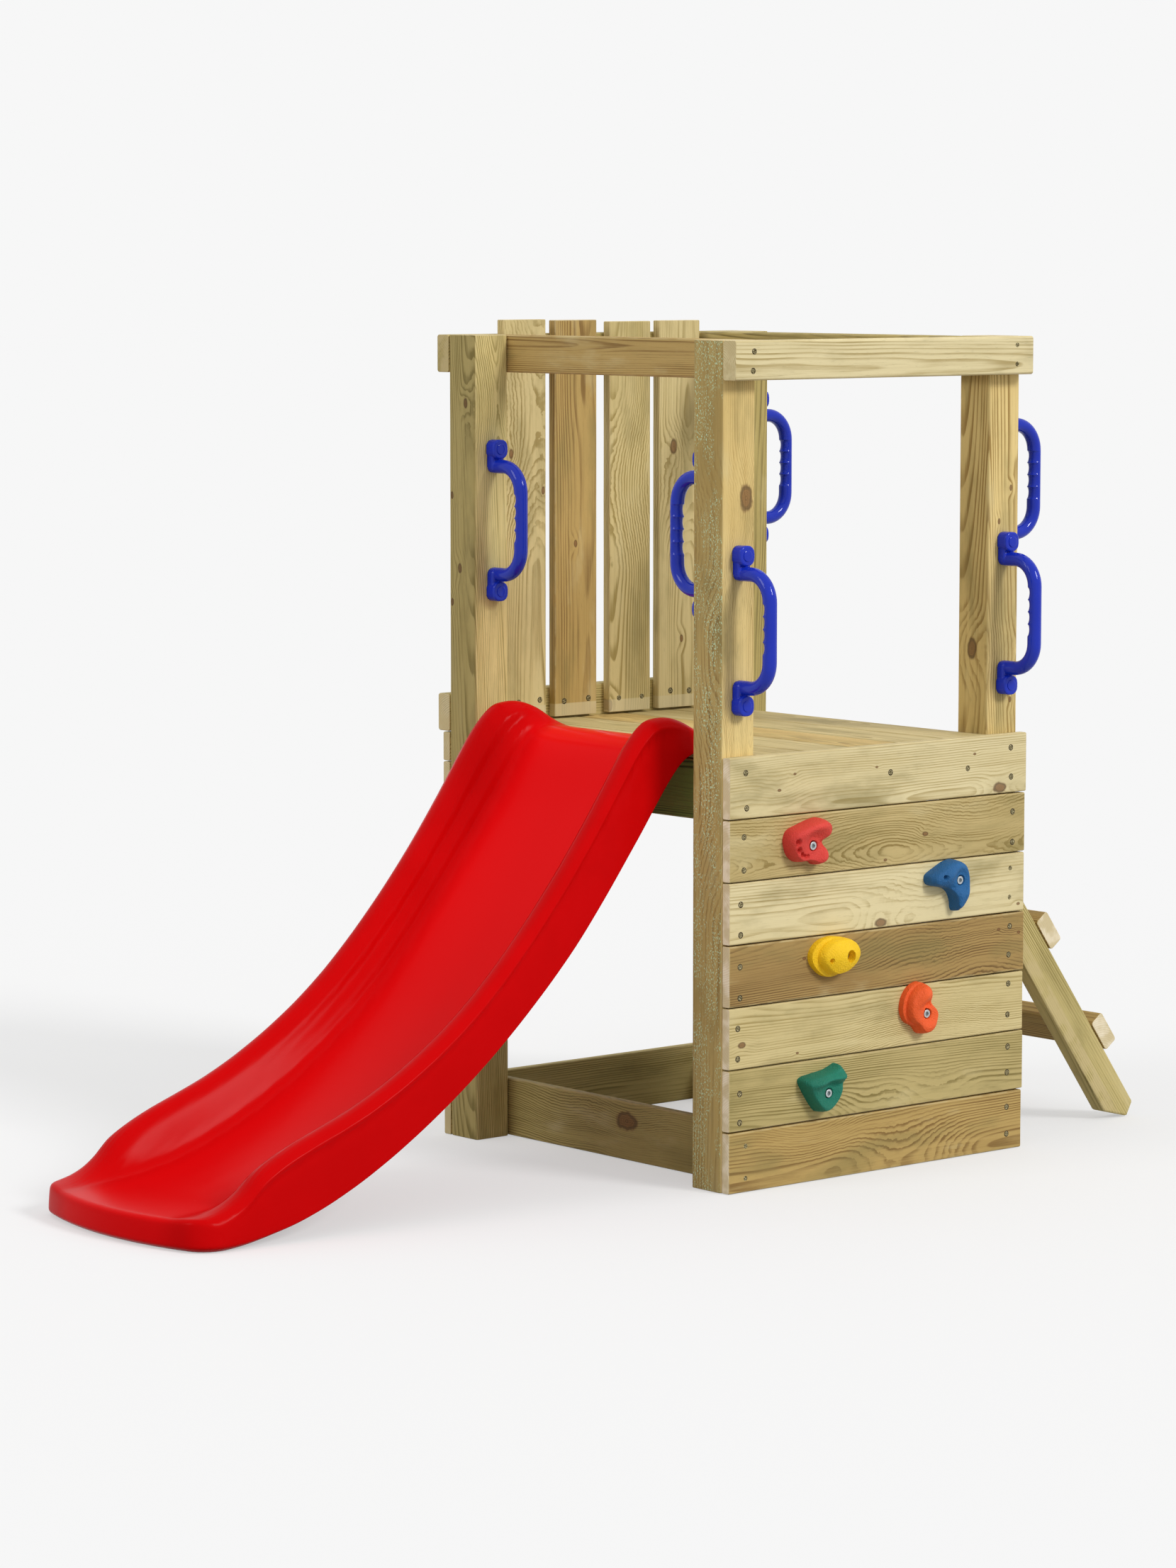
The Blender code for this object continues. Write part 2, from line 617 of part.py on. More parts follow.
# Slide: x across from its centre line, f forward from the deck beam's face
def profile_height(points, f):
    """Smooth curve through (f, height) points, with no overshoot between them."""
    xs, zs = np.array(points, float).T
    step = np.diff(xs)
    rise = np.diff(zs) / step
    slope = np.concatenate(([rise[0]], np.zeros(len(xs) - 2), [rise[-1]]))
    for i in range(1, len(xs) - 1):
        if rise[i - 1] * rise[i] > 0:
            a = 2 * step[i] + step[i - 1]
            b = step[i] + 2 * step[i - 1]
            slope[i] = (a + b) / (a / rise[i - 1] + b / rise[i])
    i = int(np.clip(np.searchsorted(xs, f) - 1, 0, len(step) - 1))
    t = float(np.clip((f - xs[i]) / step[i], 0, 1))
    return (zs[i] * (1 + 2 * t) * (1 - t) ** 2 + slope[i] * step[i] * t * (1 - t) ** 2
            + zs[i + 1] * t * t * (3 - 2 * t) + slope[i + 1] * step[i] * t * t * (t - 1))


def slide_columns():
    """Columns across half the slide: its zone (floor, side or crest) and a share of that zone."""
    columns = [("floor", t) for t in FLOOR_COLUMNS]
    columns += [("side", k / SIDE_COLUMNS) for k in range(SIDE_COLUMNS)]
    columns += [("crest", k / CREST_COLUMNS) for k in range(CREST_COLUMNS + 1)]
    return columns


def slide_point(zone, t, f):
    """(x, z) of a column of the upper surface at f."""
    crest = profile_height(CREST_LINE, f)
    floor = profile_height(FLOOR_LINE, f)
    depth = crest - floor
    dip = FLOOR_DIP * min(1.0, depth / DIP_DEPTH)
    if zone == "floor":
        return FLOOR_X * t, floor + dip * (t ** 3 - DIP_SINK)
    if zone == "side":
        rise = math.sin(math.pi / 2 * (t * t * (3 - 2 * t)) ** SIDE_BEND)
        start = dip * (1 - DIP_SINK)
        return FLOOR_X + (CREST_X - FLOOR_X) * t, floor + start + (depth - start) * rise
    radius = min(CREST_ROUND, 0.5 * (crest - profile_height(LOWER_LINE, f)))
    a = math.pi / 2 * t
    return SIDE_X - radius * (1 - math.sin(a)), crest - radius * (1 - math.cos(a))


def lip_front(x):
    front = LIP_REACH - LIP_CURVE * x * x
    past = max(0.0, x - (SIDE_X - LIP_CORNER)) / LIP_CORNER
    return front - LIP_CORNER * (1 - math.sqrt(max(0.0, 1 - past * past)))


def slide_rows():
    """Rows along the slide: f, share of the way to the lip, share of the lip's rounding."""
    rows = [(f, 0.0, 0.0) for f in np.linspace(SLIDE_BACK, HUMP_END, HUMP_ROWS)]
    rows += [(f, 0.0, 0.0) for f in np.linspace(HUMP_END, LIP_START, RUN_ROWS + 1)[1:]]
    rows += [(LIP_START, t, 0.0) for t in LIP_SHARES]
    rows += [(LIP_START, 1.0, t) for t in LIP_ROUNDING]
    return rows


def slide_surface():
    """Upper surface as an array of rows, columns and (x, f, z)."""
    half = slide_columns()
    columns = [(-1, zone, t) for zone, t in half[:0:-1]] + [(1, zone, t) for zone, t in half]
    grid = []
    for f, to_lip, rounding in slide_rows():
        line = []
        for sign, zone, t in columns:
            x, z = slide_point(zone, t, f)
            at = f
            if to_lip:
                end = lip_front(x) - LIP_ROUND
                at = f + (end - f) * to_lip + LIP_ROUND * rounding
                x, z = slide_point(zone, t, at)
                z -= LIP_SAG * (1 - math.sqrt(max(0.0, 1 - rounding * rounding)))
            line.append((sign * x, at, z))
        grid.append(line)
    return np.array(grid)


def slide_normals(grid):
    down = np.gradient(grid, axis=0)
    across = np.gradient(grid, axis=1)
    normals = np.cross(across, down)
    for edge in (normals[:, 0], normals[:, -1], normals[-1]):
        edge[:, 2] = 0.0
    normals /= np.linalg.norm(normals, axis=2, keepdims=True)
    return normals


def skirt_level(outer, inner, normals, rim, share):
    """Outside and inside points of the skirt; share 0 is where its lower edge starts to turn under."""
    outside = []
    inside = []
    for r, i in rim:
        out = normals[r, i] * (1, 1, 0)
        x, f, _ = outer[r, i]
        lower = profile_height(LOWER_LINE, f)
        t = float(np.clip((f - UNDER_START) / (UNDER_END - UNDER_START), 0, 1))
        turn = SKIRT_ROUND + (LIP_UNDER - SKIRT_ROUND) * t
        turn = min(turn, 0.5 * (inner[r, i][2] - lower))
        a = math.pi / 2 * share
        push = (SKIRT_FLARE if r else 0.0) - turn * (1 - math.cos(a))
        z = lower + turn * (1 - math.sin(a))
        outside.append((x + push * out[0], f + push * out[1], z))
        push -= SLIDE_SKIN
        inside.append((x + push * out[0], f + push * out[1], z))
    return outside, inside


def slide():
    """Thin moulding, open below: the upper surface, a skirt down to its lower edge, and the inside."""
    outer = slide_surface()
    normals = slide_normals(outer)
    normals[0] = (0.0, -1.0, 1.0)
    normals[0, 0] = (-1.0, -1.0, 0.0)
    normals[0, -1] = (1.0, -1.0, 0.0)
    inner = outer - SLIDE_SKIN * normals
    for row in inner:
        for p in row:
            p[2] = max(p[2], profile_height(LOWER_LINE, p[1]) + SLIDE_THIN)
    rows, columns = outer.shape[:2]
    rim = [(0, i) for i in range(columns)] + [(r, columns - 1) for r in range(1, rows)]
    rim += [(rows - 1, i) for i in range(columns - 2, -1, -1)] + [(r, 0) for r in range(rows - 2, 0, -1)]
    levels = [skirt_level(outer, inner, normals, rim, share) for share in SKIRT_SHARES]

    bm = bmesh.new()

    def vertex(p):
        return bm.verts.new(Vector((p[0], -p[1], p[2])) * MM)

    skins = [[[vertex(p) for p in row] for row in skin] for skin in (outer, inner)]
    for skin in skins:
        for a, b in zip(skin, skin[1:]):
            for i in range(columns - 1):
                bm.faces.new((a[i], a[i + 1], b[i + 1], b[i]))
    outside, inside = ([[vertex(p) for p in level[k]] for level in levels] for k in (0, 1))
    loops = [[skins[0][r][i] for r, i in rim]] + outside + inside[::-1] + [[skins[1][r][i] for r, i in rim]]
    for near, far in zip(loops, loops[1:]):
        for i in range(len(rim)):
            j = (i + 1) % len(rim)
            bm.faces.new((near[i], near[j], far[j], far[i]))
    place("slide", make_mesh("slide", bm, True), (SLIDE_X, -IN_Y, 0), "slide_red", (0, 0, SLIDE_TURN))


def stand_at_origin():
    """Moves the tower's empty so that the middle of the whole footprint is the origin."""
    bpy.context.view_layer.update()
    points = [ob.matrix_world @ v.co for ob in bpy.data.objects if ob.type == "MESH"
              and not ob.hide_render for v in ob.data.vertices]
    low = Vector(min(p[k] for p in points) for k in range(3))
    high = Vector(max(p[k] for p in points) for k in range(3))
    bpy.data.objects["tower_middle"].location = (-(low.x + high.x) / 2, -(low.y + high.y) / 2, -low.z)


clear_scene()
bpy.context.scene.collection.objects.link(bpy.data.objects.new("tower_middle", None))
posts()
rails()
left_boards()
cross_boards()
joists()
deck()
slats()
climbing_wall()
ladder()
handles()
holds()
slide()
stand_at_origin()
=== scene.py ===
"""Looks for the climbing tower with slide: treated pine, moulded plastic, climbing holds, bolts and screws.

Sizes are in millimetres in the tower's own frame: x = 0, y = 0 is the middle of the four posts and z = 0 is
the floor. The slide runs towards -y, the climbing wall faces +x and the ladder leans against the +y side. A
timber that is made here runs along its own x, with its width along y and its thickness along z. Inside
materials, lengths are in metres.
"""

import bisect
import math
import random

import bmesh
import bpy
from mathutils import Matrix, Vector


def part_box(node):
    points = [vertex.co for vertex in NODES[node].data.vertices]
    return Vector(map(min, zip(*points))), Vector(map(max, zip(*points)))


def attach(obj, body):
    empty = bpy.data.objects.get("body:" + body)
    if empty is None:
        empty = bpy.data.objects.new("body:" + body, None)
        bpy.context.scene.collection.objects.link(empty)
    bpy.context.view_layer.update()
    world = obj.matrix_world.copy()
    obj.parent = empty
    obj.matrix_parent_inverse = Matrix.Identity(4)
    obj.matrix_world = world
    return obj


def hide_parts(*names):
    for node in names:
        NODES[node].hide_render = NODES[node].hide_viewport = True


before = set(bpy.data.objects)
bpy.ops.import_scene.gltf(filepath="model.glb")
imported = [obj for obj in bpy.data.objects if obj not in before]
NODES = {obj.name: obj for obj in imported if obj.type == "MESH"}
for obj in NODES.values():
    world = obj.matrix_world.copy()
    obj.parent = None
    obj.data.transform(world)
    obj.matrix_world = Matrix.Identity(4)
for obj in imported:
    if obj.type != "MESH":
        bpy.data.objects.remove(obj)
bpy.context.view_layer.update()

MM = 0.001
MIDDLE = (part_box("post_front_left")[0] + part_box("post_back_right")[1]) / 2
MIDDLE.z = 0.0

# Image and camera, with the focal length in the photograph's pixels
IMAGE_HEIGHT = 2212
FOCAL = 6920.0
SENSOR = 36.0
CAMERA_AT = (5615.6, -5043.2, 1379.5)
CAMERA_YAW = math.radians(49.758)
CAMERA_DOWN = math.radians(6.212)

# Studio, with each sun as (name, towards, strength, size in degrees)
BACKGROUND = "f7f7f7"
FLOOR_SEEN = (0.86, 0.86, 0.86, 1.0)
FLOOR_BOUNCE = (0.4, 0.4, 0.4, 1.0)
FLOOR_GLOW = 0.5
FLOOR_SIZE = 60.0
FLOOR_DROP = 0.0005
WORLD_LIGHT = 0.7
SUNS = (("key", (0.80, 0.22, 0.56), 1.6, 16.0), ("front", (-0.15, -0.85, 0.5), 0.6, 24.0))

# Timber
POST_EDGE = 5.0
RAIL_EDGE = 4.0
BOARD_EDGE = 2.5
RUNG_EDGE = 5.0
EDGE_STEPS = 4
RING_PITCH = 45.0
END_EASE = 1.4
WAVER = 0.3
SEAM = 0.6
LADDER_ANGLE = math.radians(53.86)
RUNG_SECTION = (58.0, 28.0)

# Pine: how far knots and swirls stretch along the grain, and where edges, ends and feet are paler
KNOT_STRETCH = 0.6
SWIRL_STRETCH = 0.5
# Edges and the edges of the ends are lighter from wear and a painted highlight
EDGE_WEAR_AND_HIGHLIGHT = (0.0005, 0.0032)
END_WEAR_AND_HIGHLIGHT = (0.0003, 0.0022)
PALE_FOOT = (0.019, 0.021)
WOOD_BUMP = (0.35, 0.0007)

# Screws: head, star recess, and the dimple that the head is driven into, dark with stain and painted shade
SCREW_R = 3.6
SCREW_UP = 0.35
SCREW_IN = 0.1
SCREW_DIMPLE_R = 4.9
SCREW_DIMPLE_UP = 0.08
SCREW_RECESS_R = 2.0
SCREW_POINTS = 6
SCREW_STAR = 0.28

# Slide: where its frame lies, and its crests' distance from the centre line
SLIDE_AT = (1.9, -239.0)
SLIDE_TURN = math.radians(-0.64)
CREST_FROM = 172.0
CREST_TOP = 179.6
CREST_BAND = 1.5

# Moulded lines (place, half width, height): walls from the centre line out, skirt from the crest down
WALL_LINES = ((154.5, 4.0, 2.2), (148.0, 3.5, -1.8), (141.0, 4.0, 2.0), (133.0, 4.0, -1.2))
SKIRT_LINES = ((14.0, 3.5, 1.6), (22.0, 4.5, -1.8))

# Where the lines fade in and out along the slide, as (place, length of the fade)
LINES_START = (20.0, 60.0)
WALL_LINES_END = (560.0, 260.0)
SKIRT_LINES_END = (850.0, 60.0)

# Painted light and shade by place, in metres: brighter near the centre line, darker near the floor
SLIDE_PAINTED_LIGHT = (0.10, 0.15)
SLIDE_PAINTED_SHADE = (0.06, 0.55)
SLIDE_PAINTED_SHADE_SHARE = 0.6

# Grab handles
HANDLE_LENGTH = 249.0
HANDLE_REACH = 67.1
HANDLE_R = 10.6
HANDLE_BEND = 40.0
HANDLE_STRAIGHT = 43.0
HANDLE_START = 2.0
GRIP_SIDES = 28
BEND_STEPS = 12
FINGER_PITCH = 18.6
FINGER_GROOVES = 4
FINGERS_UP = 5.3
GROOVE = 2.8
GROOVE_STEPS = 10
GROOVE_SKEW = 1.2
GROOVE_FULLNESS = 0.45
GROOVE_WRAP = 0.25
GROOVE_FADE = 0.6
FOOT_LENGTH = 30.0
FOOT_W = 28.6
FOOT_H = 19.5
FOOT_EDGE = 2.5
ROOT_LENGTH = 44.6
ROOT_IN = 14.0
ROOT_W = 24.0
ROOT_H = 13.0
ROOT_EDGE = 3.0
CAP_R = 8.4
CAP_H = 1.3
CAP_SIDES = 40
VOXEL = 0.85

# Bolts
BOLT_SEAT = 10.0
BOLT_R = 6.3
BOLT_H = 8.0
BOLT_EDGE = 0.7
BOLT_SIDES = 48
SOCKET_R = 3.5
SOCKET_DEPTH = 4.5

# Climbing holds, whose side takes a share of the rings, of the way to the bolt and of the height
HOLD_SIDES = 96
HOLD_RINGS = 60
HOLD_SIDE = 0.42
SIDE_LEAN = 0.16
SIDE_RISE = 0.80
CROWN_POWER = 0.8
LUMP_ROOM = 6.0
LUMP_RISE = 1.3
FLANGE_FROM = 0.35
FLANGE_SPAN = 45.0
ROUNDING = (0, 4, 14)

# The recess around the bolt, with (way in from the rim, drop) on its lip and (way in, height) on its floor
RECESS_RIM = 9.0
RECESS_LIP = ((0.7, 0.5), (1.2, 1.6))
RECESS_FLOOR = ((1.8, BOLT_SEAT + 0.5), (2.4, BOLT_SEAT), (5.0, BOLT_SEAT))


def at(x, y, z):
    """A point of the tower's frame, in metres in the row frame."""
    return MIDDLE + Vector((x, y, z)) * MM


def srgb(text):
    """Linear colour of a hex code."""
    parts = [int(text[i:i + 2], 16) / 255 for i in (0, 2, 4)]
    return tuple(p / 12.92 if p <= 0.04045 else ((p + 0.055) / 1.055) ** 2.4 for p in parts) + (1.0,)


# Node trees
class Tree:
    """Short calls for building a node tree; an input takes a socket or a plain value."""

    def __init__(self, tree):
        self.tree = tree

    def add(self, kind, inputs=None, **settings):
        node = self.tree.nodes.new(kind)
        for name, value in settings.items():
            setattr(node, name, value)
        for name, value in (inputs or {}).items():
            self.set(node.inputs[name], value)
        return node

    def set(self, socket, value):
        if isinstance(value, bpy.types.NodeSocket):
            self.tree.links.new(value, socket)
        else:
            socket.default_value = value

    def math(self, operation, a, b=0.0):
        return self.add("ShaderNodeMath", {0: a, 1: b}, operation=operation).outputs[0]

    def vector(self, operation, a, b=(0.0, 0.0, 0.0)):
        node = self.add("ShaderNodeVectorMath", {0: a, 1: b}, operation=operation)
        return node.outputs["Value" if operation in ("DOT_PRODUCT", "LENGTH") else "Vector"]

    def smooth(self, value, low, high, start=0.0, end=1.0):
        node = self.add("ShaderNodeMapRange", {0: value, 1: low, 2: high, 3: start, 4: end},
                        interpolation_type="SMOOTHSTEP")
        return node.outputs[0]

    def noise(self, place, scale, detail=2.0, roughness=0.5):
        inputs = {"Vector": self.vector("MULTIPLY", place, scale), "Scale": 1.0, "Detail": detail,
                  "Roughness": roughness}
        return self.add("ShaderNodeTexNoise", inputs).outputs[0]

    def mix(self, share, a, b, blend="MIX"):
        node = self.add("ShaderNodeMix", {0: share, 6: a, 7: b}, data_type="RGBA", blend_type=blend)
        return node.outputs[2]

    def split(self, value):
        return self.add("ShaderNodeSeparateXYZ", {0: value}).outputs

    def join(self, x, y, z):
        return self.add("ShaderNodeCombineXYZ", {0: x, 1: y, 2: z}).outputs[0]


def new_group(name, inputs, outputs):
    """An empty node group with its sockets; returns the tree helper, its inputs and its output node."""
    tree = bpy.data.node_groups.new(name, "ShaderNodeTree")
    kinds = {"value": "NodeSocketFloat", "vector": "NodeSocketVector", "colour": "NodeSocketColor"}
    for label, kind in inputs:
        tree.interface.new_socket(label, in_out="INPUT", socket_type=kinds[kind])
    for label, kind in outputs:
        tree.interface.new_socket(label, in_out="OUTPUT", socket_type=kinds[kind])
    helper = Tree(tree)
    return helper, helper.add("NodeGroupInput").outputs, helper.add("NodeGroupOutput").inputs


def new_material(name, roughness=0.5, metallic=0.0, specular=0.5):
    """A material with an empty Principled shader; returns it, its tree helper and the shader."""
    material = bpy.data.materials.new(name)
    material.use_nodes = True
    helper = Tree(material.node_tree)
    shader = material.node_tree.nodes["Principled BSDF"]
    helper.set(shader.inputs["Roughness"], roughness)
    helper.set(shader.inputs["Metallic"], metallic)
    helper.set(shader.inputs["Specular IOR Level"], specular)
    return material, helper, shader


# Pine
def knot_group():
    """One knot: how far it pushes the growth rings aside, and how much of the surface it takes."""
    t, given, result = new_group(
        "knot",
        (("Place", "vector"), ("Across", "vector"), ("Centre", "vector"), ("Radius", "value"),
         ("Shown", "value"), ("Push", "value"), ("Mask", "value"), ("Core", "value")),
        (("Push", "value"), ("Mask", "value"), ("Core", "value")))
    flat = t.vector("MULTIPLY", t.vector("SUBTRACT", given["Place"], given["Centre"]), given["Across"])
    wobble = t.math("MULTIPLY", t.noise(given["Place"], (90.0, 90.0, 90.0)), 0.5)
    distance = t.math("DIVIDE", t.vector("LENGTH", flat), given["Radius"])
    distance = t.math("ADD", distance, t.math("SUBTRACT", wobble, 0.25))
    push = t.math("MULTIPLY", t.smooth(distance, 0.3, 4.5, 1.0, 0.0), given["Radius"])
    t.set(result["Push"], t.math("ADD", given["Push"], push))
    mask = t.math("MULTIPLY", t.smooth(distance, 0.75, 1.1, 1.0, 0.0), given["Shown"])
    core = t.math("MULTIPLY", t.smooth(distance, 0.0, 0.8, 1.0, 0.0), given["Shown"])
    t.set(result["Mask"], t.math("MAXIMUM", given["Mask"], mask))
    t.set(result["Core"], t.math("MAXIMUM", given["Core"], core))
    return t.tree


def pine_group():
    """Solid pine: growth rings around a pith along x, fibres, stains, knots, end grain, and edges lighter
    from wear and a painted highlight.
    """
    t, given, result = new_group(
        "pine",
        (("Place", "vector"), ("Normal", "vector"), ("Half", "vector"), ("Seed", "value"),
         ("Pith", "vector"), ("Tilt", "value"), ("Rings", "value"), ("Figure", "value"),
         ("Contrast", "value"), ("Light", "colour"), ("Dark", "colour"), ("Stain", "colour"),
         ("Stained", "value"), ("Push", "value"), ("Mask", "value"), ("Core", "value"), ("Ends", "value")),
        (("Colour", "colour"), ("Roughness", "value"), ("Height", "value")))
    place = given["Place"]
    shifted = t.vector("ADD", place, t.join(given["Seed"], given["Seed"], given["Seed"]))
    x, y, z = t.split(place)

    # The pith wanders along the timber, and the rings are circles around it
    sway = t.math("SUBTRACT", t.noise(shifted, (2.6, 7.0, 7.0), 1.5), 0.5)
    lift = t.math("SUBTRACT", t.noise(t.vector("ADD", shifted, (3.1, 1.7, 0.4)), (3.4, 9.0, 9.0), 1.5), 0.5)
    _, pith_y, pith_z = t.split(given["Pith"])
    off_y = t.math("ADD", t.math("SUBTRACT", y, pith_y), t.math("MULTIPLY", sway, given["Figure"]))
    off_z = t.math("ADD", t.math("SUBTRACT", z, pith_z), t.math("MULTIPLY", lift, given["Figure"]))
    off_z = t.math("ADD", off_z, t.math("MULTIPLY", x, given["Tilt"]))
    radius = t.vector("LENGTH", t.join(0.0, off_y, off_z))
    radius = t.math("ADD", radius, given["Push"])
    seeded = t.join(0.0, 0.0, t.math("ADD", radius, given["Seed"]))
    uneven = t.math("MULTIPLY", t.noise(seeded, (1.0, 1.0, 60.0)), 2.0)
    rings = t.math("ADD", t.math("MULTIPLY", radius, given["Rings"]), uneven)
    share = t.math("FRACT", rings)
    late = t.math("MULTIPLY", t.smooth(share, 0.3, 0.88), t.smooth(share, 0.9, 1.0, 1.0, 0.0))
    bold = t.smooth(t.noise(shifted, (3.0, 26.0, 26.0), 2.0), 0.3, 0.72, 0.25, 1.0)

    fibre = t.noise(shifted, (14.0, 620.0, 620.0), 3.0, 0.62)
    streak = t.noise(shifted, (3.0, 120.0, 120.0), 3.0, 0.6)
    depth = t.math("MULTIPLY", t.math("MULTIPLY", late, bold), given["Contrast"])
    depth = t.math("ADD", depth, t.math("MULTIPLY", t.math("SUBTRACT", fibre, 0.5), 0.85))
    depth = t.math("ADD", depth, t.math("MULTIPLY", t.math("SUBTRACT", streak, 0.5), 1.3))
    colour = t.mix(t.smooth(depth, -0.05, 1.0), given["Light"], given["Dark"])

    # Stains from the treatment, and fine dark pores
    patch = t.smooth(t.noise(shifted, (2.2, 8.0, 8.0), 3.0, 0.6), 0.42, 0.72)
    colour = t.mix(t.math("MULTIPLY", patch, given["Stained"]), colour, given["Stain"])
    cloud = t.noise(t.vector("ADD", shifted, (9.0, 2.0, 5.0)), (5.0, 16.0, 16.0), 4.0, 0.6)
    colour = t.mix(t.smooth(cloud, 0.48, 0.75, 0.0, 0.55), colour, srgb("857846"))
    colour = t.mix(t.smooth(cloud, 0.25, 0.45, 0.45, 0.0), colour, srgb("d9cb9b"))
    pore = t.smooth(t.noise(shifted, (60.0, 1400.0, 1400.0), 1.0), 0.66, 0.78)
    colour = t.mix(t.math("MULTIPLY", pore, 0.3), colour, srgb("4a3a1c"))

    # Knots: red-brown with rings of their own and a dark rim
    knot_rings = t.math("FRACT", t.math("MULTIPLY", given["Core"], 5.0))
    knot = t.mix(t.smooth(knot_rings, 0.2, 1.0, 0.0, 0.8), srgb("8c5f35"), srgb("553519"))
    rim = t.math("MULTIPLY", given["Mask"], t.smooth(given["Core"], 0.0, 0.25, 1.0, 0.0))
    knot = t.mix(t.math("MULTIPLY", rim, 0.8), knot, srgb("45301a"))
    colour = t.mix(t.math("MULTIPLY", given["Mask"], 0.82), colour, knot)

    # Sawn ends are paler, and the long edges are lighter from rubbed wear and a painted highlight
    nx, _, _ = t.split(given["Normal"])
    end = t.smooth(t.math("ABSOLUTE", nx), 0.6, 0.85)
    end_colour = t.mix(t.math("MULTIPLY", late, 0.35), srgb("fff4da"), srgb("d8c094"))
    colour = t.mix(t.math("MULTIPLY", end, given["Ends"]), colour, end_colour)
    half_x, half_y, half_z = t.split(given["Half"])
    to_edge_y = t.math("SUBTRACT", half_y, t.math("ABSOLUTE", y))
    to_edge_z = t.math("SUBTRACT", half_z, t.math("ABSOLUTE", z))
    to_end = t.math("SUBTRACT", half_x, t.math("ABSOLUTE", x))
    edge = t.math("MULTIPLY", t.smooth(to_edge_y, *EDGE_WEAR_AND_HIGHLIGHT, 1.0, 0.0),
                  t.smooth(to_edge_z, *EDGE_WEAR_AND_HIGHLIGHT, 1.0, 0.0))
    edge = t.math("MAXIMUM", edge, t.smooth(to_end, *END_WEAR_AND_HIGHLIGHT, 1.0, 0.0))
    wear_and_highlight = t.math("MULTIPLY", edge, t.smooth(t.noise(shifted, (40.0, 40.0, 40.0)), 0.35, 0.6, 0.2, 0.75))
    colour = t.mix(wear_and_highlight, colour, srgb("c9b684"))

    rough = t.math("ADD", 0.62, t.math("MULTIPLY", fibre, 0.22))
    rough = t.math("SUBTRACT", rough, t.math("MULTIPLY", late, 0.08))
    height = t.math("ADD", t.math("MULTIPLY", fibre, 0.5), t.math("MULTIPLY", late, 0.45))
    height = t.math("SUBTRACT", height, t.math("MULTIPLY", pore, 0.3))
    height = t.math("ADD", height, t.math("MULTIPLY", rim, -0.8))
    t.set(result["Colour"], colour)
    t.set(result["Roughness"], rough)
    t.set(result["Height"], height)
    return t.tree


KNOT = knot_group()
PINE = pine_group()

# Tones: light wood, late wood, stain, share stained
TONES = {
    "cream": ("e4d5a6", "ad9862", "d0be88", 0.45),
    "pale": ("d3c088", "9f8a4e", "b5a364", 0.5),
    "straw": ("d6c48e", "a08b52", "c2af76", 0.45),
    "moss": ("cbb97c", "8d7e44", "a39458", 0.55),
    "sand": ("c8b27a", "8b743c", "9f8b51", 0.6),
    "olive": ("bba868", "7d6e3c", "8f8049", 0.6),
    "honey": ("dcc07d", "9f8145", "c0a05c", 0.45),
    "brown": ("ab8c54", "684c25", "7f6133", 0.6),
    "tan": ("bd9f60", "836433", "9f7f42", 0.5),
    "dark": ("849a4c", "485824", "5f7032", 0.6),
    "fern": ("bfac73", "857540", "9a8a52", 0.5),
    "wheat": ("decb8c", "9d8c4e", "bda968", 0.5),
    "amber": ("e8cd8a", "a78648", "c8a862", 0.5),
}


def underside(t, normal):
    """1 where the surface faces -z of the timber's own frame."""
    return t.smooth(t.vector("DOT_PRODUCT", normal, (0.0, 0.0, -1.0)), 0.55, 0.85)


def either_side(rng, near, far):
    """A distance between near and far, to one side or the other."""
    return rng.choice((-1, 1)) * rng.uniform(near, far)


